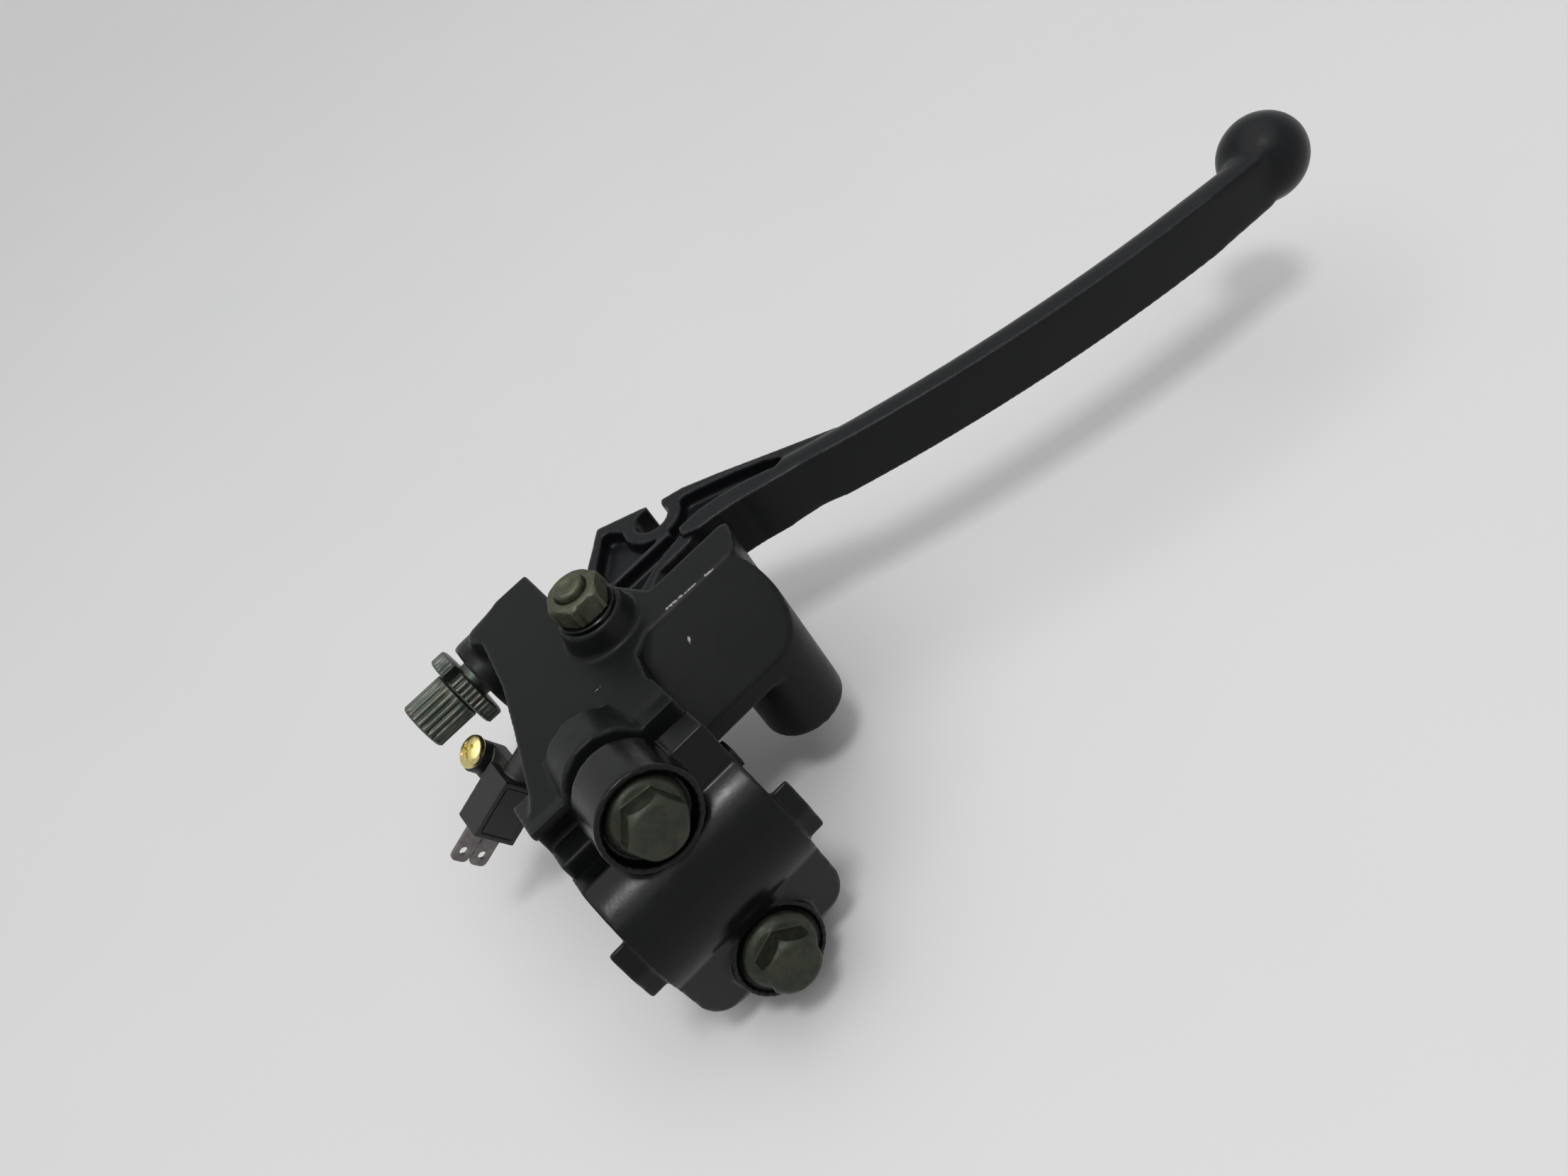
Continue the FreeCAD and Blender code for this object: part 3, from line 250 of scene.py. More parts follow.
olive_plating = plating("olive_chromate_on_zinc_plated_steel", "#343830", "#3d4036", "#414134", "#20221b", 0.50)
drab_plating = plating("drab_yellow_chromate_on_zinc_plated_steel", "#484b3e", "#545548", "#5c5944", "#262720", 0.44)
gold_plating = plating("yellow_chromate_on_zinc_plated_steel", "#e2cd8c", "#cfcb86", "#e6b79c", "#7d6540", 0.24,
                       1.6, 1.0)
grey_plating = plating("dull_zinc_on_knurled_steel", "#4b534c", "#565b54", "#5a5349", "#1c1e1b", 0.42, 4.0)
tin_plating = plating("tin_plated_brass_strip", "#6a6566", "#7d7875", "#5b5560", "#3a3637", 0.36, 2.5)
platings = (olive_plating, drab_plating, gold_plating, grey_plating, tin_plating)
print("platings:", len(platings))

# %% [markdown]
# ## Small parts
# The switch is moulded in black nylon, dull and slightly grained. Inside it are a brass contact strip, a pale
# acetal plunger, a spring of hard-drawn wire and a rubber seal. The lever turns on a sintered bronze bush.

# %% Moulded, rolled and drawn finishes
def plain_finish(name, dark, light, gloss, metal=0.0, grain_mm=0.4, depth_mm=0.02):
    """Two close shades in clouds, a cloudy gloss and a fine grain."""
    material, tree, shader = new_material(name, Metallic=metal)
    place = add_node(tree, "ShaderNodeTexCoord").outputs["Object"]
    clouds = add_node(tree, "ShaderNodeTexNoise", {"Vector": place, "Scale": per_mm(2.5), "Detail": 4.0})
    share = add_node(tree, "ShaderNodeMapRange", {"Value": clouds.outputs["Fac"], "From Min": 0.3, "From Max": 0.7})
    colour = add_node(tree, "ShaderNodeMix", {0: share.outputs["Result"], 6: linear(dark), 7: linear(light)},
                      data_type="RGBA")
    rough = add_node(tree, "ShaderNodeMapRange", {
        "Value": clouds.outputs["Fac"], "From Min": 0.3, "From Max": 0.7, "To Min": gloss - 0.05,
        "To Max": gloss + 0.06}).outputs["Result"]
    grain = add_node(tree, "ShaderNodeTexNoise", {"Vector": place, "Scale": per_mm(grain_mm), "Detail": 3.0})
    rises = add_node(tree, "ShaderNodeBump", {
        "Height": grain.outputs["Fac"], "Distance": depth_mm * MM, "Strength": 0.5}).outputs["Normal"]
    tree.links.new(colour.outputs[2], shader.inputs["Base Color"])
    tree.links.new(rough, shader.inputs["Roughness"])
    tree.links.new(rises, shader.inputs["Normal"])
    return material


black_nylon = plain_finish("moulded_black_nylon", "#090a0b", "#0f1011", 0.46)
contact_brass = plain_finish("rolled_brass_strip", "#b08d4c", "#c9a863", 0.30, 1.0, 0.2, 0.01)
bronze = plain_finish("sintered_bronze_bush", "#7d6238", "#92754a", 0.45, 1.0)
acetal = plain_finish("turned_natural_acetal", "#cfcabb", "#ddd8ca", 0.40)
spring_wire = plain_finish("hard_drawn_spring_steel", "#7c7d80", "#98999c", 0.28, 1.0, 0.2, 0.01)
rubber = plain_finish("moulded_black_rubber", "#111111", "#181818", 0.62)
small_finishes = (black_nylon, contact_brass, bronze, acetal, spring_wire, rubber)
print("small finishes:", len(small_finishes))

# %% [markdown]
# ## Soft edges for the castings
# A casting has no sharp edge: the mould and the paint round them all. One way is to bevel, but a bevel fails
# where many faces meet. So a copy of the CAD solid is merged into one skin, rebuilt from small cubes (a voxel
# remesh), and smoothed, which rounds every edge by about a voxel. The mean of a point's neighbours lies below it
# on an edge and above it in a corner, and that height is kept as the edge attribute. A height of 0.16 of a voxel
# counts as a full edge. Where two shapes flow into each other, a round zone is smoothed much more.

# %% Casting helpers
WELD = 0.002 * MM
FULL_EDGE = 0.16


def one_skin(node):
    """A copy of the CAD node's mesh with its loose triangles merged into one skin."""
    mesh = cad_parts[node].data.copy()
    skin = bmesh.new()
    skin.from_mesh(mesh)
    bmesh.ops.remove_doubles(skin, verts=skin.verts, dist=WELD)
    skin.to_mesh(mesh)
    skin.free()
    mesh.materials.clear()
    return mesh


def with_modifiers(mesh, name, steps):
    """Applies a list of (kind, settings) modifiers and gives back the finished mesh."""
    held = bpy.data.objects.new(name, mesh)
    bpy.context.collection.objects.link(held)
    for kind, settings in steps:
        modifier = held.modifiers.new(kind.lower(), kind)
        for key, value in settings.items():
            setattr(modifier, key, value)
    graph = bpy.context.evaluated_depsgraph_get()
    done = bpy.data.meshes.new_from_object(held.evaluated_get(graph))
    bpy.data.objects.remove(held)
    return done


def points_of(mesh, what="co"):
    """The mesh's points, or their normals, as an array of rows."""
    values = np.empty(len(mesh.vertices) * 3)
    mesh.vertices.foreach_get(what, values)
    return values.reshape(-1, 3)


def keep_level(mesh, name, level):
    """Stores one number for each point under a name that a material can read."""
    mesh.attributes.new(name, "FLOAT", "POINT").data.foreach_set("value", level.astype(np.float32))


def neighbours(mesh):
    """The two ends of every edge, and how many edges meet at each point."""
    count = len(mesh.vertices)
    pairs = np.empty(len(mesh.edges) * 2, dtype=np.int64)
    mesh.edges.foreach_get("vertices", pairs)
    a, b = pairs.reshape(-1, 2).T
    return a, b, np.maximum(np.bincount(a, minlength=count) + np.bincount(b, minlength=count), 1)


def mean_of(values, a, b, degree):
    """The mean of a value over each point's neighbours."""
    count = len(degree)
    return (np.bincount(a, values[b], count) + np.bincount(b, values[a], count)) / degree


def mark_edges(mesh, reach):
    """Height of each point above its neighbours' mean, along its normal, as a share of reach."""
    spots, normals = points_of(mesh), points_of(mesh, "normal")
    around = neighbours(mesh)
    height = sum((spots[:, k] - mean_of(spots[:, k], *around)) * normals[:, k] for k in range(3))
    for _ in range(2):
        height = 0.5 * height + 0.5 * mean_of(height, *around)
    keep_level(mesh, "edge", np.clip(height / reach, 0, 1))


def mark_chips_and_highlights(mesh, strokes):
    """One minus the distance to the nearest stroke over its width; a stroke is two ends and a width in mm."""
    spots = points_of(mesh) / MM
    level = np.zeros(len(spots))
    for start, end, width in strokes:
        start, run = np.array(start, float), np.subtract(end, start)
        along = np.clip((spots - start) @ run / max(run @ run, 1e-9), 0, 1)
        away = np.linalg.norm(spots - start - along[:, None] * run, axis=1)
        level = np.maximum(level, np.clip(1.5 - away / width, 0, 1))
    keep_level(mesh, "chip_and_highlight", level)


def soften(mesh, zones):
    """Blends shapes: in a zone, each point moves halfway to its neighbours' mean, many times, less at its rim."""
    spots = points_of(mesh)
    a, b, degree = neighbours(mesh)
    for centre, radius, rounds in zones:
        away = np.linalg.norm(spots / MM - np.array(centre), axis=1)
        share = 0.5 * np.clip(1.6 * (1 - away / radius), 0, 1)[:, None]
        for _ in range(rounds):
            mean = np.stack([mean_of(spots[:, k], a, b, degree) for k in range(3)], axis=1)
            spots = spots + share * (mean - spots)
    mesh.vertices.foreach_set("co", spots.ravel())
    mesh.update()


def show(mesh, name, material, body, slot, *nodes):
    """Puts a finished mesh in the scene, dressed, riding on its body and standing for its CAD nodes."""
    piece = bpy.data.objects.new(name, mesh)
    bpy.context.collection.objects.link(piece)
    mesh.materials.clear()
    mesh.materials.append(material)
    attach(piece, body)
    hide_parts(*nodes)
    return piece


def soft_casting(node, name, voxel_mm, rounds, material, body, slot, strokes=(), zones=()):
    """A casting with rounded edges: merge, voxel remesh, smooth, blend the zones, mark the edges, the chips and the
    painted highlight strokes.
    """
    mesh = with_modifiers(one_skin(node), name, [
        ("REMESH", {"mode": "VOXEL", "voxel_size": voxel_mm * MM, "adaptivity": 0.0}),
        ("SMOOTH", {"factor": 0.5, "iterations": rounds})])
    soften(mesh, zones)
    mark_edges(mesh, FULL_EDGE * voxel_mm * MM)
    mark_chips_and_highlights(mesh, strokes)
    mesh.shade_smooth()
    piece = show(mesh, name, material, body, slot, node)
    print(name, "faces:", len(mesh.polygons))
    return piece


# %% [markdown]
# ## The castings and the switch's case
# The holder, its clamp cap and the lever get soft edges of about half a millimetre. The case is moulded plastic,
# so its edges are tighter and its cubes smaller. The strokes are light marks. A knock below the fold above the
# mirror boss and a few scratches are places where the paint has chipped on the real thing. A row of dashes along
# that fold and a line along the lever's top edge are painted highlights, where the gloss catches the light. A
# stroke is two ends and a width, and a zone is a middle, a radius and how many times it is smoothed, with
# lengths in mm.

# %% Castings
# Painted highlights: two dashes of light along the fold above the mirror boss.
FOLD_HIGHLIGHT = [((27.2, 27.7, 21.0), (34.4, 27.5, 20.9), 0.32), ((36.4, 27.3, 20.8), (38.4, 27.2, 20.7), 0.30)]
KNOCK = ((25.9, 22.3, 15.7), (26.6, 23.3, 16.4), 0.38)
SCRATCH = ((6.3, 25.0, 21.0), (9.0, 24.5, 21.0), 0.22)
CAP_MARKS = [((3, -16.0, -2.0), (5, -16.6, -7.0), 0.3), ((8, -15, -11), (9, -15.5, -13), 0.3)]
# Painted highlight: a line of light along the lever's top edge.
LEVER_EDGE_HIGHLIGHT = [((46, 46.6, 14.9), (60, 42.2, 14.9), 0.25)]
PLATE_CORNER = ((-3.4, 72, 23.4), 10.8, 120)
BALL_RADIUS, LEVER_MIDDLE = 9.3, 8.4
lever_low, lever_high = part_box("lever")
ball_x, ball_y = lever_high[0] / MM - BALL_RADIUS, lever_low[1] / MM + BALL_RADIUS
BALL_NECK = ((ball_x - 3, ball_y, LEVER_MIDDLE), 20.0, 60)
ROOT_SEAM = ((66, 40, LEVER_MIDDLE), 9.0, 60)
soft_casting("perch_body", "perch_casting", 0.46, 6, perch_enamel, "perch", "perch_paint",
             [*FOLD_HIGHLIGHT, KNOCK, SCRATCH], [PLATE_CORNER])
soft_casting("clamp_cap", "clamp_cap_casting", 0.34, 8, cap_enamel, "perch", "cap_paint", CAP_MARKS)
soft_casting("lever", "lever_casting", 0.42, 6, lever_enamel, "lever_arm", "lever_paint",
             LEVER_EDGE_HIGHLIGHT, [BALL_NECK, ROOT_SEAM])
soft_casting("switch_housing", "switch_case", 0.20, 9, black_nylon, "perch", "switch_plastic")

# %% [markdown]
# ## Turned pieces
# Bolts, nuts, the adjuster and its ring are all profiles carried round an axis. A profile says how far along the
# axis and how far out each point is, and the angle goes round. A second function may change the radius with the
# angle: that cuts a hexagon, a knurl or a screw's cross. Where the profile touches the axis its points are
# merged, so the ends are closed.

# %% Turning helpers
def rounded(profile, radius, steps=4):
    """Turns each inner corner into a quadratic curve between points a radius before and after it."""
    points = np.asarray(profile, float)
    made = [points[0]]
    t = np.linspace(0, 1, steps)[:, None]
    for before, corner, after in zip(points[:-2], points[1:-1], points[2:]):
        back, ahead = before - corner, after - corner
        reach = min(radius, 0.45 * np.linalg.norm(back), 0.45 * np.linalg.norm(ahead))
        first = corner + back / max(np.linalg.norm(back), 1e-9) * reach
        last = corner + ahead / max(np.linalg.norm(ahead), 1e-9) * reach
        made.extend((1 - t) ** 2 * first + 2 * t * (1 - t) * corner + t ** 2 * last)
    made.append(points[-1])
    return np.array(made)


def skin_from_grid(name, spots, wrap_rows=False, wrap_columns=True, caps=(), sharp=32):
    """A mesh from a grid of points in mm: quads between neighbours, doubles merged, normals turned outwards."""
    rows, columns = spots.shape[:2]
    index = np.arange(rows * columns).reshape(rows, columns)
    ends = [index[:, 0].tolist(), index[:, -1][::-1].tolist()] if "sides" in caps else []
    ends += [index[0][::-1].tolist(), index[-1].tolist()] if "ends" in caps else []
    if wrap_rows:
        index = np.vstack([index, index[:1]])
    if wrap_columns:
        index = np.hstack([index, index[:, :1]])
    quads = np.stack([index[:-1, :-1], index[1:, :-1], index[1:, 1:], index[:-1, 1:]], axis=-1).reshape(-1, 4)
    mesh = bpy.data.meshes.new(name)
    mesh.from_pydata((spots.reshape(-1, 3) * MM).tolist(), [], quads.tolist() + ends)
    skin = bmesh.new()
    skin.from_mesh(mesh)
    bmesh.ops.remove_doubles(skin, verts=skin.verts, dist=0.001 * MM)
    bmesh.ops.dissolve_degenerate(skin, edges=skin.edges, dist=0.0005 * MM)
    bmesh.ops.recalc_face_normals(skin, faces=skin.faces)
    skin.to_mesh(mesh)
    skin.free()
    mesh.shade_smooth()
    mesh.set_sharp_from_angle(angle=math.radians(sharp))
    return mesh


def turned(name, profile_mm, start, along, up=(0, 0, 1), shape=None, steps=96, slot_mm=0.0, ring=False):
    """Carries (along, radius) points round an axis.

    A point is start + along * s + radius * (cos of the angle * side + sin of the angle * up). A ring's profile
    is a closed loop. A slot leaves out the strip within half slot_mm of the side direction, and walls it off.
    """
    profile = np.asarray(profile_mm, float)
    axis = np.asarray(Vector(along).normalized())
    side = np.asarray(Vector(up).cross(Vector(along)).normalized())
    top = np.cross(axis, side)
    turn = np.linspace(0, 2 * math.pi, steps, endpoint=slot_mm > 0)
    s, angle = np.meshgrid(profile[:, 0], turn, indexing="ij")
    r = np.repeat(profile[:, 1:2], len(turn), axis=1)
    if slot_mm:
        gap = np.arcsin(np.clip(0.5 * slot_mm / np.maximum(r, 1e-6), 0, 0.9))
        angle = gap + angle / (2 * math.pi) * (2 * math.pi - 2 * gap)
    if shape is not None:
        s, r = shape(s, r, angle)
    spots = (np.asarray(start) + s[..., None] * axis
             + r[..., None] * (np.cos(angle)[..., None] * side + np.sin(angle)[..., None] * top))
    return skin_from_grid(name, spots, wrap_rows=ring, wrap_columns=not slot_mm, caps=("sides",) if slot_mm else ())


def six_sides(flats, phase, angle):
    """Radius of a hexagon at an angle: half the flats over the cosine of the angle from the flat's middle."""
    return 0.5 * flats / np.cos((angle + phase) % (math.pi / 3) - math.pi / 6)


def box_mm(node):
    """The low and high corners of a CAD node's box, in millimetres."""
    low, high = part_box(node)
    return np.array(low) / MM, np.array(high) / MM


print("a 10 mm hexagon reaches", round(float(six_sides(10, 0, 0.0)), 3), "mm from its middle")

# %% [markdown]
# ## The clamp bolts
# Each is an M6 with a round flange under its hexagon. The head is forged: its corners end in a cone, so the flat
# top is round, and the flange slopes. The radius is the smaller of the hexagon and the profile, which is how the
# cone and the hexagon meet on the real bolt too.

# %% Clamp bolts
TILT = math.radians(13.5)
OUT = np.array([0, -math.cos(TILT), math.sin(TILT)])
RISE = np.array([0, math.sin(TILT), math.cos(TILT)])
SEAT, SPACING, FLATS = 11.0, 38.2, 10.0
CORNER_RADIUS, FLANGE_RADIUS, BOLT_RADIUS = 5.9, 7.1, 3.0
FLANGE_TOP, HEXAGON_FOOT, BOLT_LENGTH = 1.8, 2.4, 23.0


def flanged_bolt(name, rise_mm, phase):
    """Head top, cone, hexagon, sloped flange, shank and tip, from the top down."""
    top = [(6.85, 0.0), (6.9, 2.0), (7.0, 3.6), (6.95, 4.3), (6.7, 4.75), (6.35, 5.1), (5.8, 5.5),
           (5.0, CORNER_RADIUS)]
    flange = [(HEXAGON_FOOT, CORNER_RADIUS), (2.1, 6.1), (FLANGE_TOP, 6.5), (1.2, 6.95), (0.8, FLANGE_RADIUS),
              (0.12, FLANGE_RADIUS), (0.0, 6.95)]
    shank = [(0.0, BOLT_RADIUS), (1.1 - BOLT_LENGTH, BOLT_RADIUS), (0.1 - BOLT_LENGTH, 2.2), (-BOLT_LENGTH, 0.0)]

    def cut_hexagon(s, r, angle):
        """Above the flange, the smaller of the profile's radius and the hexagon's, which fades out at its foot."""
        foot = np.clip((HEXAGON_FOOT - s) / (HEXAGON_FOOT - FLANGE_TOP), 0, 1)
        limit = six_sides(FLATS, phase, angle) * (1 - foot) + FLANGE_RADIUS * foot
        return s, np.where((s > FLANGE_TOP) & (r > BOLT_RADIUS), np.minimum(r, limit), r)

    profile = rounded(top + flange + shank, 0.2)
    mesh = turned(name, profile, OUT * SEAT + RISE * rise_mm, OUT, RISE, cut_hexagon, 144)
    return show(mesh, name + "_forged", olive_plating, "perch", "olive_zinc", name)


flanged_bolt("clamp_bolt_upper", SPACING / 2, 0.15)
flanged_bolt("clamp_bolt_lower", -SPACING / 2, 0.7)
print("clamp bolts", SPACING, "mm apart")

# %% [markdown]
# ## Pivot bolt and nut
# The lever's pivot bolt comes up from below and ends in a dished tip inside its nut. The nut is a closed profile
# carried round, with a washer face and a chamfer that leaves the top round. The washer under it was fitted before
# the holder was painted, so it is black, with a rounded rim that shines.

# %% Pivot bolt and nut
nut_low, nut_high = box_mm("pivot_nut")
bolt_low, bolt_high = box_mm("pivot_bolt")
pivot = (nut_low + nut_high) / 2


def cut_to_hexagon(s, r, angle):
    """The smaller of the profile's radius and the hexagon's, outside the thread."""
    return s, np.where(r > 3.6, np.minimum(r, six_sides(FLATS, 0.0, angle)), r)


NUT_BORE = 3.05
nut_loop = [(0, NUT_BORE), (0, 4.7), (0.2, 5.2), (0.5, CORNER_RADIUS), (4.1, CORNER_RADIUS), (4.45, 5.5),
            (4.8, 5.0), (5.0, 4.5), (5.0, 3.5), (4.6, NUT_BORE)]
mesh = turned("pivot_nut", nut_loop, (pivot[0], pivot[1], nut_low[2]), (0, 0, 1), (0, 1, 0),
              cut_to_hexagon, 144, ring=True)
show(mesh, "pivot_nut_cut", drab_plating, "perch", "pale_zinc", "pivot_nut")
length = bolt_high[2] - bolt_low[2]
bolt_head = [(0, 0), (0, 4.4), (0.2, 4.9), (0.7, CORNER_RADIUS), (4.0, CORNER_RADIUS), (4.0, BOLT_RADIUS)]
dished_tip = [(length - 0.5, BOLT_RADIUS), (length - 0.15, 2.75), (length, 2.3), (length - 0.08, 1.5),
              (length - 0.35, 0.8), (length - 0.4, 0.0)]
mesh = turned("pivot_bolt", rounded(bolt_head + dished_tip, 0.15), (pivot[0], pivot[1], bolt_low[2]), (0, 0, 1),
              (0, 1, 0), cut_to_hexagon, 144)
show(mesh, "pivot_bolt_turned", drab_plating, "perch", "pale_zinc", "pivot_bolt")
washer_low, washer_high = box_mm("pivot_washer")
thick = washer_high[2] - washer_low[2]
WASHER_BORE = 3.1
washer_loop = [(0, WASHER_BORE), (0, 5.7), (0.2, 5.95), (0.5, 6.0), (0.8, 5.95), (thick, 5.7), (thick, WASHER_BORE)]
mesh = turned("pivot_washer", washer_loop, (pivot[0], pivot[1], washer_low[2]), (0, 0, 1), (0, 1, 0), steps=120,
              ring=True)
show(mesh, "pivot_washer_rounded", cap_enamel, "perch", "perch_paint", "pivot_washer")
print("pivot bolt is", round(length, 1), "mm long")

# %% [markdown]
# ## The cable adjuster and its lock ring
# Both are turned from steel bar and knurled so that fingers can grip them: the head has long flutes, the ring
# short ones. A slot along one side lets the cable drop in. A flute is a cosine of the angle, squared to narrow
# it, that takes a little off the radius. The ring's slot is at its own angle, so it is turned about its axis.

# %% Adjuster and lock ring
def flutes(count, depth, low, high, least):
    """Radius less depth times the square of (one plus cosine)/2, between two places along the axis."""
    def shape(s, r, angle):
        """Only radii above the least are cut, and each flute runs out over 0.4 mm at its ends."""
        wave = (0.5 + 0.5 * np.cos(count * angle)) ** 2
        ends = np.clip(np.minimum(s - low, high - s) / 0.4, 0, 1)
        return s, np.where(r > least, r - depth * wave * ends, r)
    return shape


adjuster_low, adjuster_high = box_mm("cable_adjuster")
ring_low, ring_high = box_mm("adjuster_lock_ring")
middle = (ring_low + ring_high) / 2
start = np.array([adjuster_low[0], middle[1], middle[2]])
reach = adjuster_high[0] - adjuster_low[0]
HEAD, HEAD_RADIUS, STEM_RADIUS = 10.0, 5.5, 4.0
POCKET, POCKET_RADIUS, CABLE_RADIUS, SLOT = 7.0, 2.6, 1.2, 2.0
RING_RADIUS, RING_BORE = 8.7, 4.05
HEAD_FLUTES, RING_FLUTES, ROUND = 20, 40, 320
head_steps = [(x, HEAD_RADIUS) for x in np.linspace(0.4, HEAD - 0.4, 14)]
adjuster_loop = [(0, POCKET_RADIUS), (0, HEAD_RADIUS - 0.4)] + head_steps + [
    (HEAD, HEAD_RADIUS - 0.5), (HEAD, STEM_RADIUS), (reach - 0.6, STEM_RADIUS), (reach, STEM_RADIUS - 0.5),
    (reach, CABLE_RADIUS), (POCKET, CABLE_RADIUS), (POCKET, POCKET_RADIUS)]
head_flutes = flutes(HEAD_FLUTES, 0.55, 0.3, HEAD - 0.9, HEAD_RADIUS - 0.2)
mesh = turned("cable_adjuster", adjuster_loop, start, (1, 0, 0), (0, 0, 1), head_flutes, ROUND,
              slot_mm=SLOT, ring=True)
show(mesh, "adjuster_fluted", grey_plating, "adjuster", "adjuster_zinc", "cable_adjuster")
thick = ring_high[0] - ring_low[0]
ring_steps = [(x, RING_RADIUS) for x in np.linspace(0.35, thick - 0.35, 8)]
ring_loop = [(0, RING_BORE), (0, RING_RADIUS - 0.5)] + ring_steps + [(thick, RING_RADIUS - 0.5), (thick, RING_BORE)]
ring_flutes = flutes(RING_FLUTES, 0.5, 0.15, thick - 0.15, RING_RADIUS - 0.2)
notch = math.radians(28)
mesh = turned("adjuster_lock_ring", ring_loop, (ring_low[0], middle[1], middle[2]), (1, 0, 0),
              (0, -math.cos(notch), -math.sin(notch)), ring_flutes, ROUND, slot_mm=SLOT, ring=True)
show(mesh, "lock_ring_knurled", grey_plating, "lock_ring", "adjuster_zinc", "adjuster_lock_ring")
print("flutes:", HEAD_FLUTES, "on the head,", RING_FLUTES, "on the ring")

# %% [markdown]
# ## The switch's screw
# A small pan-head screw in gold chromate. Its head is a dome, and a cross is pressed into it: the dome sinks by
# 0.7 mm where the point lies within half an arm's width of either arm's line.

# %% Screw
SWITCH_TILT = math.radians(20)
SCREW_AXIS = np.array([-math.sin(SWITCH_TILT), 0, math.cos(SWITCH_TILT)])
SCREW_HEAD, SCREW_RADIUS, SCREW_STEM, DOME = 2.3, 3.5, 1.5, 1.5
CROSS_HALF, CROSS_REACH, CROSS_DEPTH, CROSS_TURN = 0.5, 1.9, 0.7, 0.5
screw_low, screw_high = box_mm("switch_screw")
screw_top = np.array([screw_low[0] + SCREW_RADIUS * math.cos(SWITCH_TILT), (screw_low[1] + screw_high[1]) / 2,
                      screw_high[2] - SCREW_RADIUS * math.sin(SWITCH_TILT)])
screw_height = screw_high[2] - screw_low[2] - (SCREW_RADIUS + SCREW_STEM) * math.sin(SWITCH_TILT)
shank_length = screw_height / math.cos(SWITCH_TILT)


def pressed_cross(s, r, angle):
    """The dome less the depth, where the smaller of |x| and |y| is under half an arm and r is inside its reach."""
    x, y = r * np.cos(angle + CROSS_TURN), r * np.sin(angle + CROSS_TURN)
    arm = np.clip((CROSS_HALF - np.minimum(np.abs(x), np.abs(y))) / 0.2, 0, 1)
    arm = arm * np.clip((CROSS_REACH - r) / 0.35, 0, 1)
    return np.where(s > -1.2, s - CROSS_DEPTH * arm, s), r


rise = np.linspace(0, 1, 26)
dome = [(-DOME + DOME * math.sqrt(1 - u * u), SCREW_RADIUS * u) for u in rise]
screw_profile = dome + [(-1.9, SCREW_RADIUS), (-SCREW_HEAD, SCREW_RADIUS - 0.2), (-SCREW_HEAD, SCREW_STEM),
                        (-shank_length, SCREW_STEM), (-shank_length, 0)]
mesh = turned("switch_screw", screw_profile, screw_top, SCREW_AXIS, (0, 1, 0), pressed_cross, 120)
show(mesh, "switch_screw_pan_head", gold_plating, "perch", "yellow_zinc", "switch_screw")
print("screw head at", screw_top.round(1))

# %% [markdown]
# ## The switch's terminals and spring
# Each terminal is a strip punched from tin-plated brass, with rounded corners and a hole. Seen from the hole, the
# strip's edge is a superellipse towards the tip and a rectangle towards the case, so one angle describes both
# outlines. The spring is a wire carried along a helix.

# %% Terminals and spring
LONG = np.array([math.cos(SWITCH_TILT), 0, math.sin(SWITCH_TILT)])
ACROSS = np.array([-math.sin(SWITCH_TILT), 0, math.cos(SWITCH_TILT)])
STRIP_HALF, STRIP_TIP, STRIP_TAIL, STRIP_HOLE = 2.0, 2.4, 7.85, 0.9
HALF_THICK, BEVEL = 0.4, 0.08


def strip_outline(angle):
    """Distance from the hole's middle to the strip's edge at an angle from the strip's length.

    At the tip it is one over the fourth root of (cos / length)^4 + (sin / half width)^4. At the tail it is the
    nearer of the rectangle's side and its end.
    """
    c, s = np.abs(np.cos(angle)) + 1e-9, np.abs(np.sin(angle)) + 1e-9
    tail = np.minimum(STRIP_HALF / s, STRIP_TAIL / c)
    tip = 1 / ((c / STRIP_TIP) ** 4 + (s / STRIP_HALF) ** 4) ** 0.25
    return np.where(np.cos(angle) > 0, tail, tip)


corner = math.atan2(STRIP_HALF, STRIP_TAIL)
angles = np.sort(np.concatenate([np.linspace(0, 2 * math.pi, 120, endpoint=False), [corner, 2 * math.pi - corner]]))
for node in ("terminal_upper", "terminal_lower"):
    low, high = box_mm(node)
    tip_x = low[0] + STRIP_HALF * math.sin(SWITCH_TILT)
    tip_z = low[2] + STRIP_HALF * math.cos(SWITCH_TILT)
    hole = np.array([tip_x, (low[1] + high[1]) / 2, tip_z]) + STRIP_TIP * LONG
    edge = strip_outline(angles)
    bore = np.full_like(edge, STRIP_HOLE)
    loops = [(edge, HALF_THICK - BEVEL), (edge - BEVEL, HALF_THICK), (bore, HALF_THICK),
             (bore, -HALF_THICK), (edge - BEVEL, -HALF_THICK), (edge, BEVEL - HALF_THICK)]
    spots = np.array([hole + r[:, None] * (np.cos(angles)[:, None] * LONG + np.sin(angles)[:, None] * ACROSS)
                      + np.array([0, h, 0]) for r, h in loops])
    mesh = skin_from_grid(node, spots, wrap_rows=True)
    show(mesh, node + "_punched", tin_plating, "perch", "terminal_tin", node)

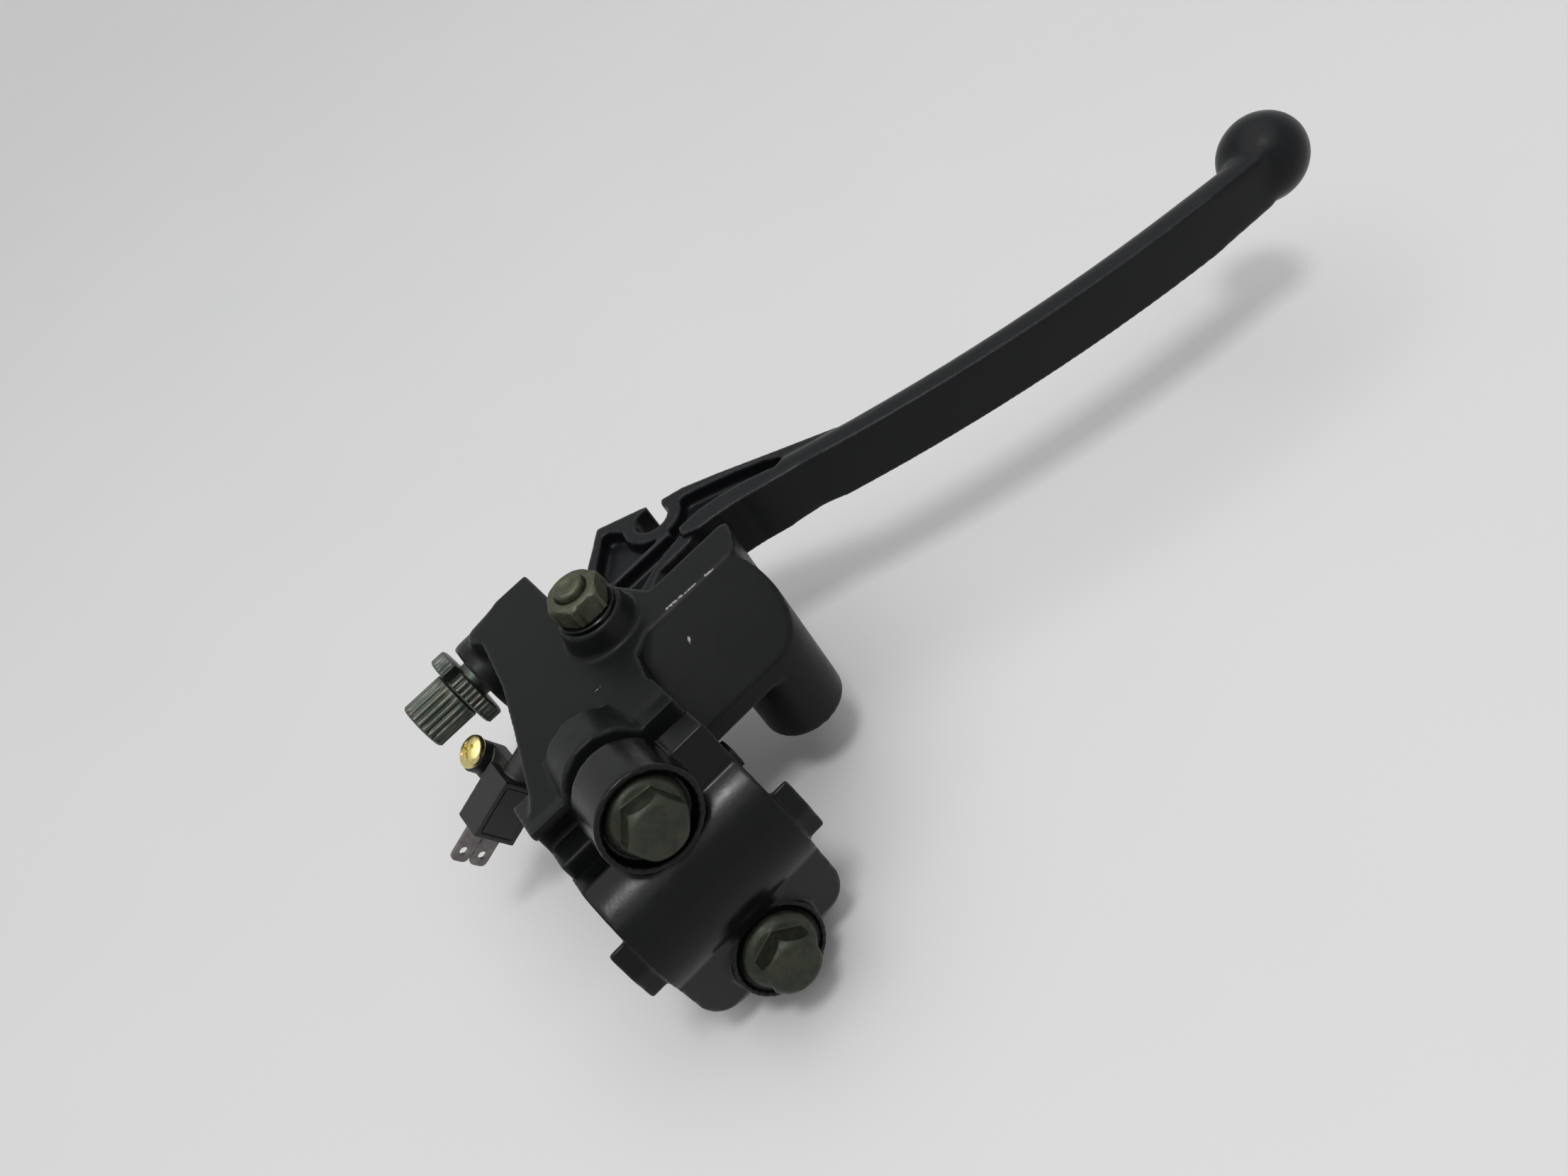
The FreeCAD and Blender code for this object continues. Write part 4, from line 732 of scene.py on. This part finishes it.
low, high = box_mm("plunger_spring")
centre = (low + high) / 2
COILS, COIL_RADIUS, WIRE, SPRING_LENGTH = 4.0, 1.95, 0.22, 2.3
u = np.linspace(0, 1, 220)[:, None]
v = np.linspace(0, 2 * math.pi, 12, endpoint=False)[None, :]
around = 2 * math.pi * COILS * u
outward = np.cos(around)[..., None] * np.array([0, 1, 0]) + np.sin(around)[..., None] * ACROSS
path = centre + ((u - 0.5) * (SPRING_LENGTH - 2 * WIRE))[..., None] * LONG + COIL_RADIUS * outward
spots = path + WIRE * (np.cos(v)[..., None] * outward + np.sin(v)[..., None] * LONG)
mesh = skin_from_grid("plunger_spring", spots, caps=("ends",))
show(mesh, "plunger_spring_coiled", spring_wire, "plunger_set", "spring_steel", "plunger_spring")
print("spring coils:", COILS)

# %% [markdown]
# ## Finishes for the pieces that stay as they are
# The rest of the CAD nodes already have the right shape, so they only get their materials.

# %% Dress the remaining nodes
FINISH = {
    "lever_bush": bronze, "switch_cover": black_nylon, "switch_plunger": acetal,
    "contact_bridge": contact_brass, "nose_seal": rubber,
}
for node, material in FINISH.items():
    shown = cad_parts[node]
    shown.data.materials.clear()
    shown.data.materials.append(material)
print("dressed nodes:", len(FINISH))

# %% [markdown]
# ## The table
# The holder lies on a pale laminate table. A wide floor, just under the model, holds the soft shadow.

# %% Floor
FLOOR_Z = cad_low[2] - 0.4 * MM
HALF = 3.0
floor_mesh = bpy.data.meshes.new("floor")
corners = [(-HALF, -HALF, FLOOR_Z), (HALF, -HALF, FLOOR_Z), (HALF, HALF, FLOOR_Z), (-HALF, HALF, FLOOR_Z)]
floor_mesh.from_pydata(corners, [], [(0, 1, 2, 3)])
floor = bpy.data.objects.new("floor", floor_mesh)
bpy.context.collection.objects.link(floor)
table, tree, shader = new_material("white_laminate_table", Roughness=0.5, Specular_IOR_Level=0.2)
place = add_node(tree, "ShaderNodeTexCoord").outputs["Object"]
clouds = add_node(tree, "ShaderNodeTexNoise", {"Vector": place, "Scale": per_mm(90), "Detail": 3.0})
pale = add_node(tree, "ShaderNodeMix", {0: clouds.outputs["Fac"], 6: linear("#dfe0e0"), 7: linear("#e4e4e3")},
                data_type="RGBA")
tree.links.new(pale.outputs[2], shader.inputs["Base Color"])
floor_mesh.materials.append(table)
floor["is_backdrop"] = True
print("floor at", round(FLOOR_Z / MM, 1), "mm")

# %% [markdown]
# ## Light
# The light is soft daylight. A very broad sun overhead lights everything evenly, a small lamp beside it draws the
# bright bands along the glossy arches, and the world is a dim room. Light Path tells the world what looks at it:
# the camera and the mirror rays see the pale wall, and only the shading sees the dim room.

# %% Lamps and world
LOOK_AT = (0.05, 0.03, 0)
ROOM_STRENGTH, WALL_STRENGTH = 0.20, 1.0


def add_lamp(name, kind, place, power, **settings):
    """A lamp that looks from its place at the middle of the object."""
    data = bpy.data.lights.new(name, kind)
    data.energy = power
    for key, value in settings.items():
        setattr(data, key, value)
    lamp = bpy.data.objects.new(name, data)
    lamp.location = place
    lamp.rotation_euler = (Vector(LOOK_AT) - Vector(place)).to_track_quat("-Z", "Y").to_euler()
    bpy.context.collection.objects.link(lamp)
    return lamp


add_lamp("soft_ceiling", "SUN", (0.02, 0.0, 1.2), 1.48, angle=math.radians(82))
add_lamp("small_window", "AREA", (0.00, -0.34, 1.05), 3.4, size=0.20)
world = bpy.data.worlds.new("pale_room")
bpy.context.scene.world = world
world.use_nodes = True
tree = world.node_tree
tree.nodes.clear()
rays = add_node(tree, "ShaderNodeLightPath").outputs
mirrored = add_node(tree, "ShaderNodeMath", {0: rays["Is Glossy Ray"], 1: rays["Is Transmission Ray"]},
                    operation="MAXIMUM").outputs[0]
seen = add_node(tree, "ShaderNodeMath", {0: rays["Is Camera Ray"], 1: mirrored}, operation="MAXIMUM").outputs[0]
room = add_node(tree, "ShaderNodeBackground", {"Color": linear("#ffffff"), "Strength": ROOM_STRENGTH}).outputs[0]
backdrop = add_node(tree, "ShaderNodeBackground", {"Color": linear("#d0d1d1"), "Strength": WALL_STRENGTH}).outputs[0]
both = add_node(tree, "ShaderNodeMixShader", {0: seen, 1: room, 2: backdrop}).outputs[0]
add_node(tree, "ShaderNodeOutputWorld", {"Surface": both})
bpy.context.scene.view_settings.view_transform = "Standard"
print("lamps:", len(bpy.data.lights))

# %% [markdown]
# ## Sizes, and the end
# The dressed model has to stay inside the CAD model's box, so both boxes are written down to compare.

# %% Sizes
low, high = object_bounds()
print("visual box in mm:", [round(v / MM, 1) for v in (high - low)])
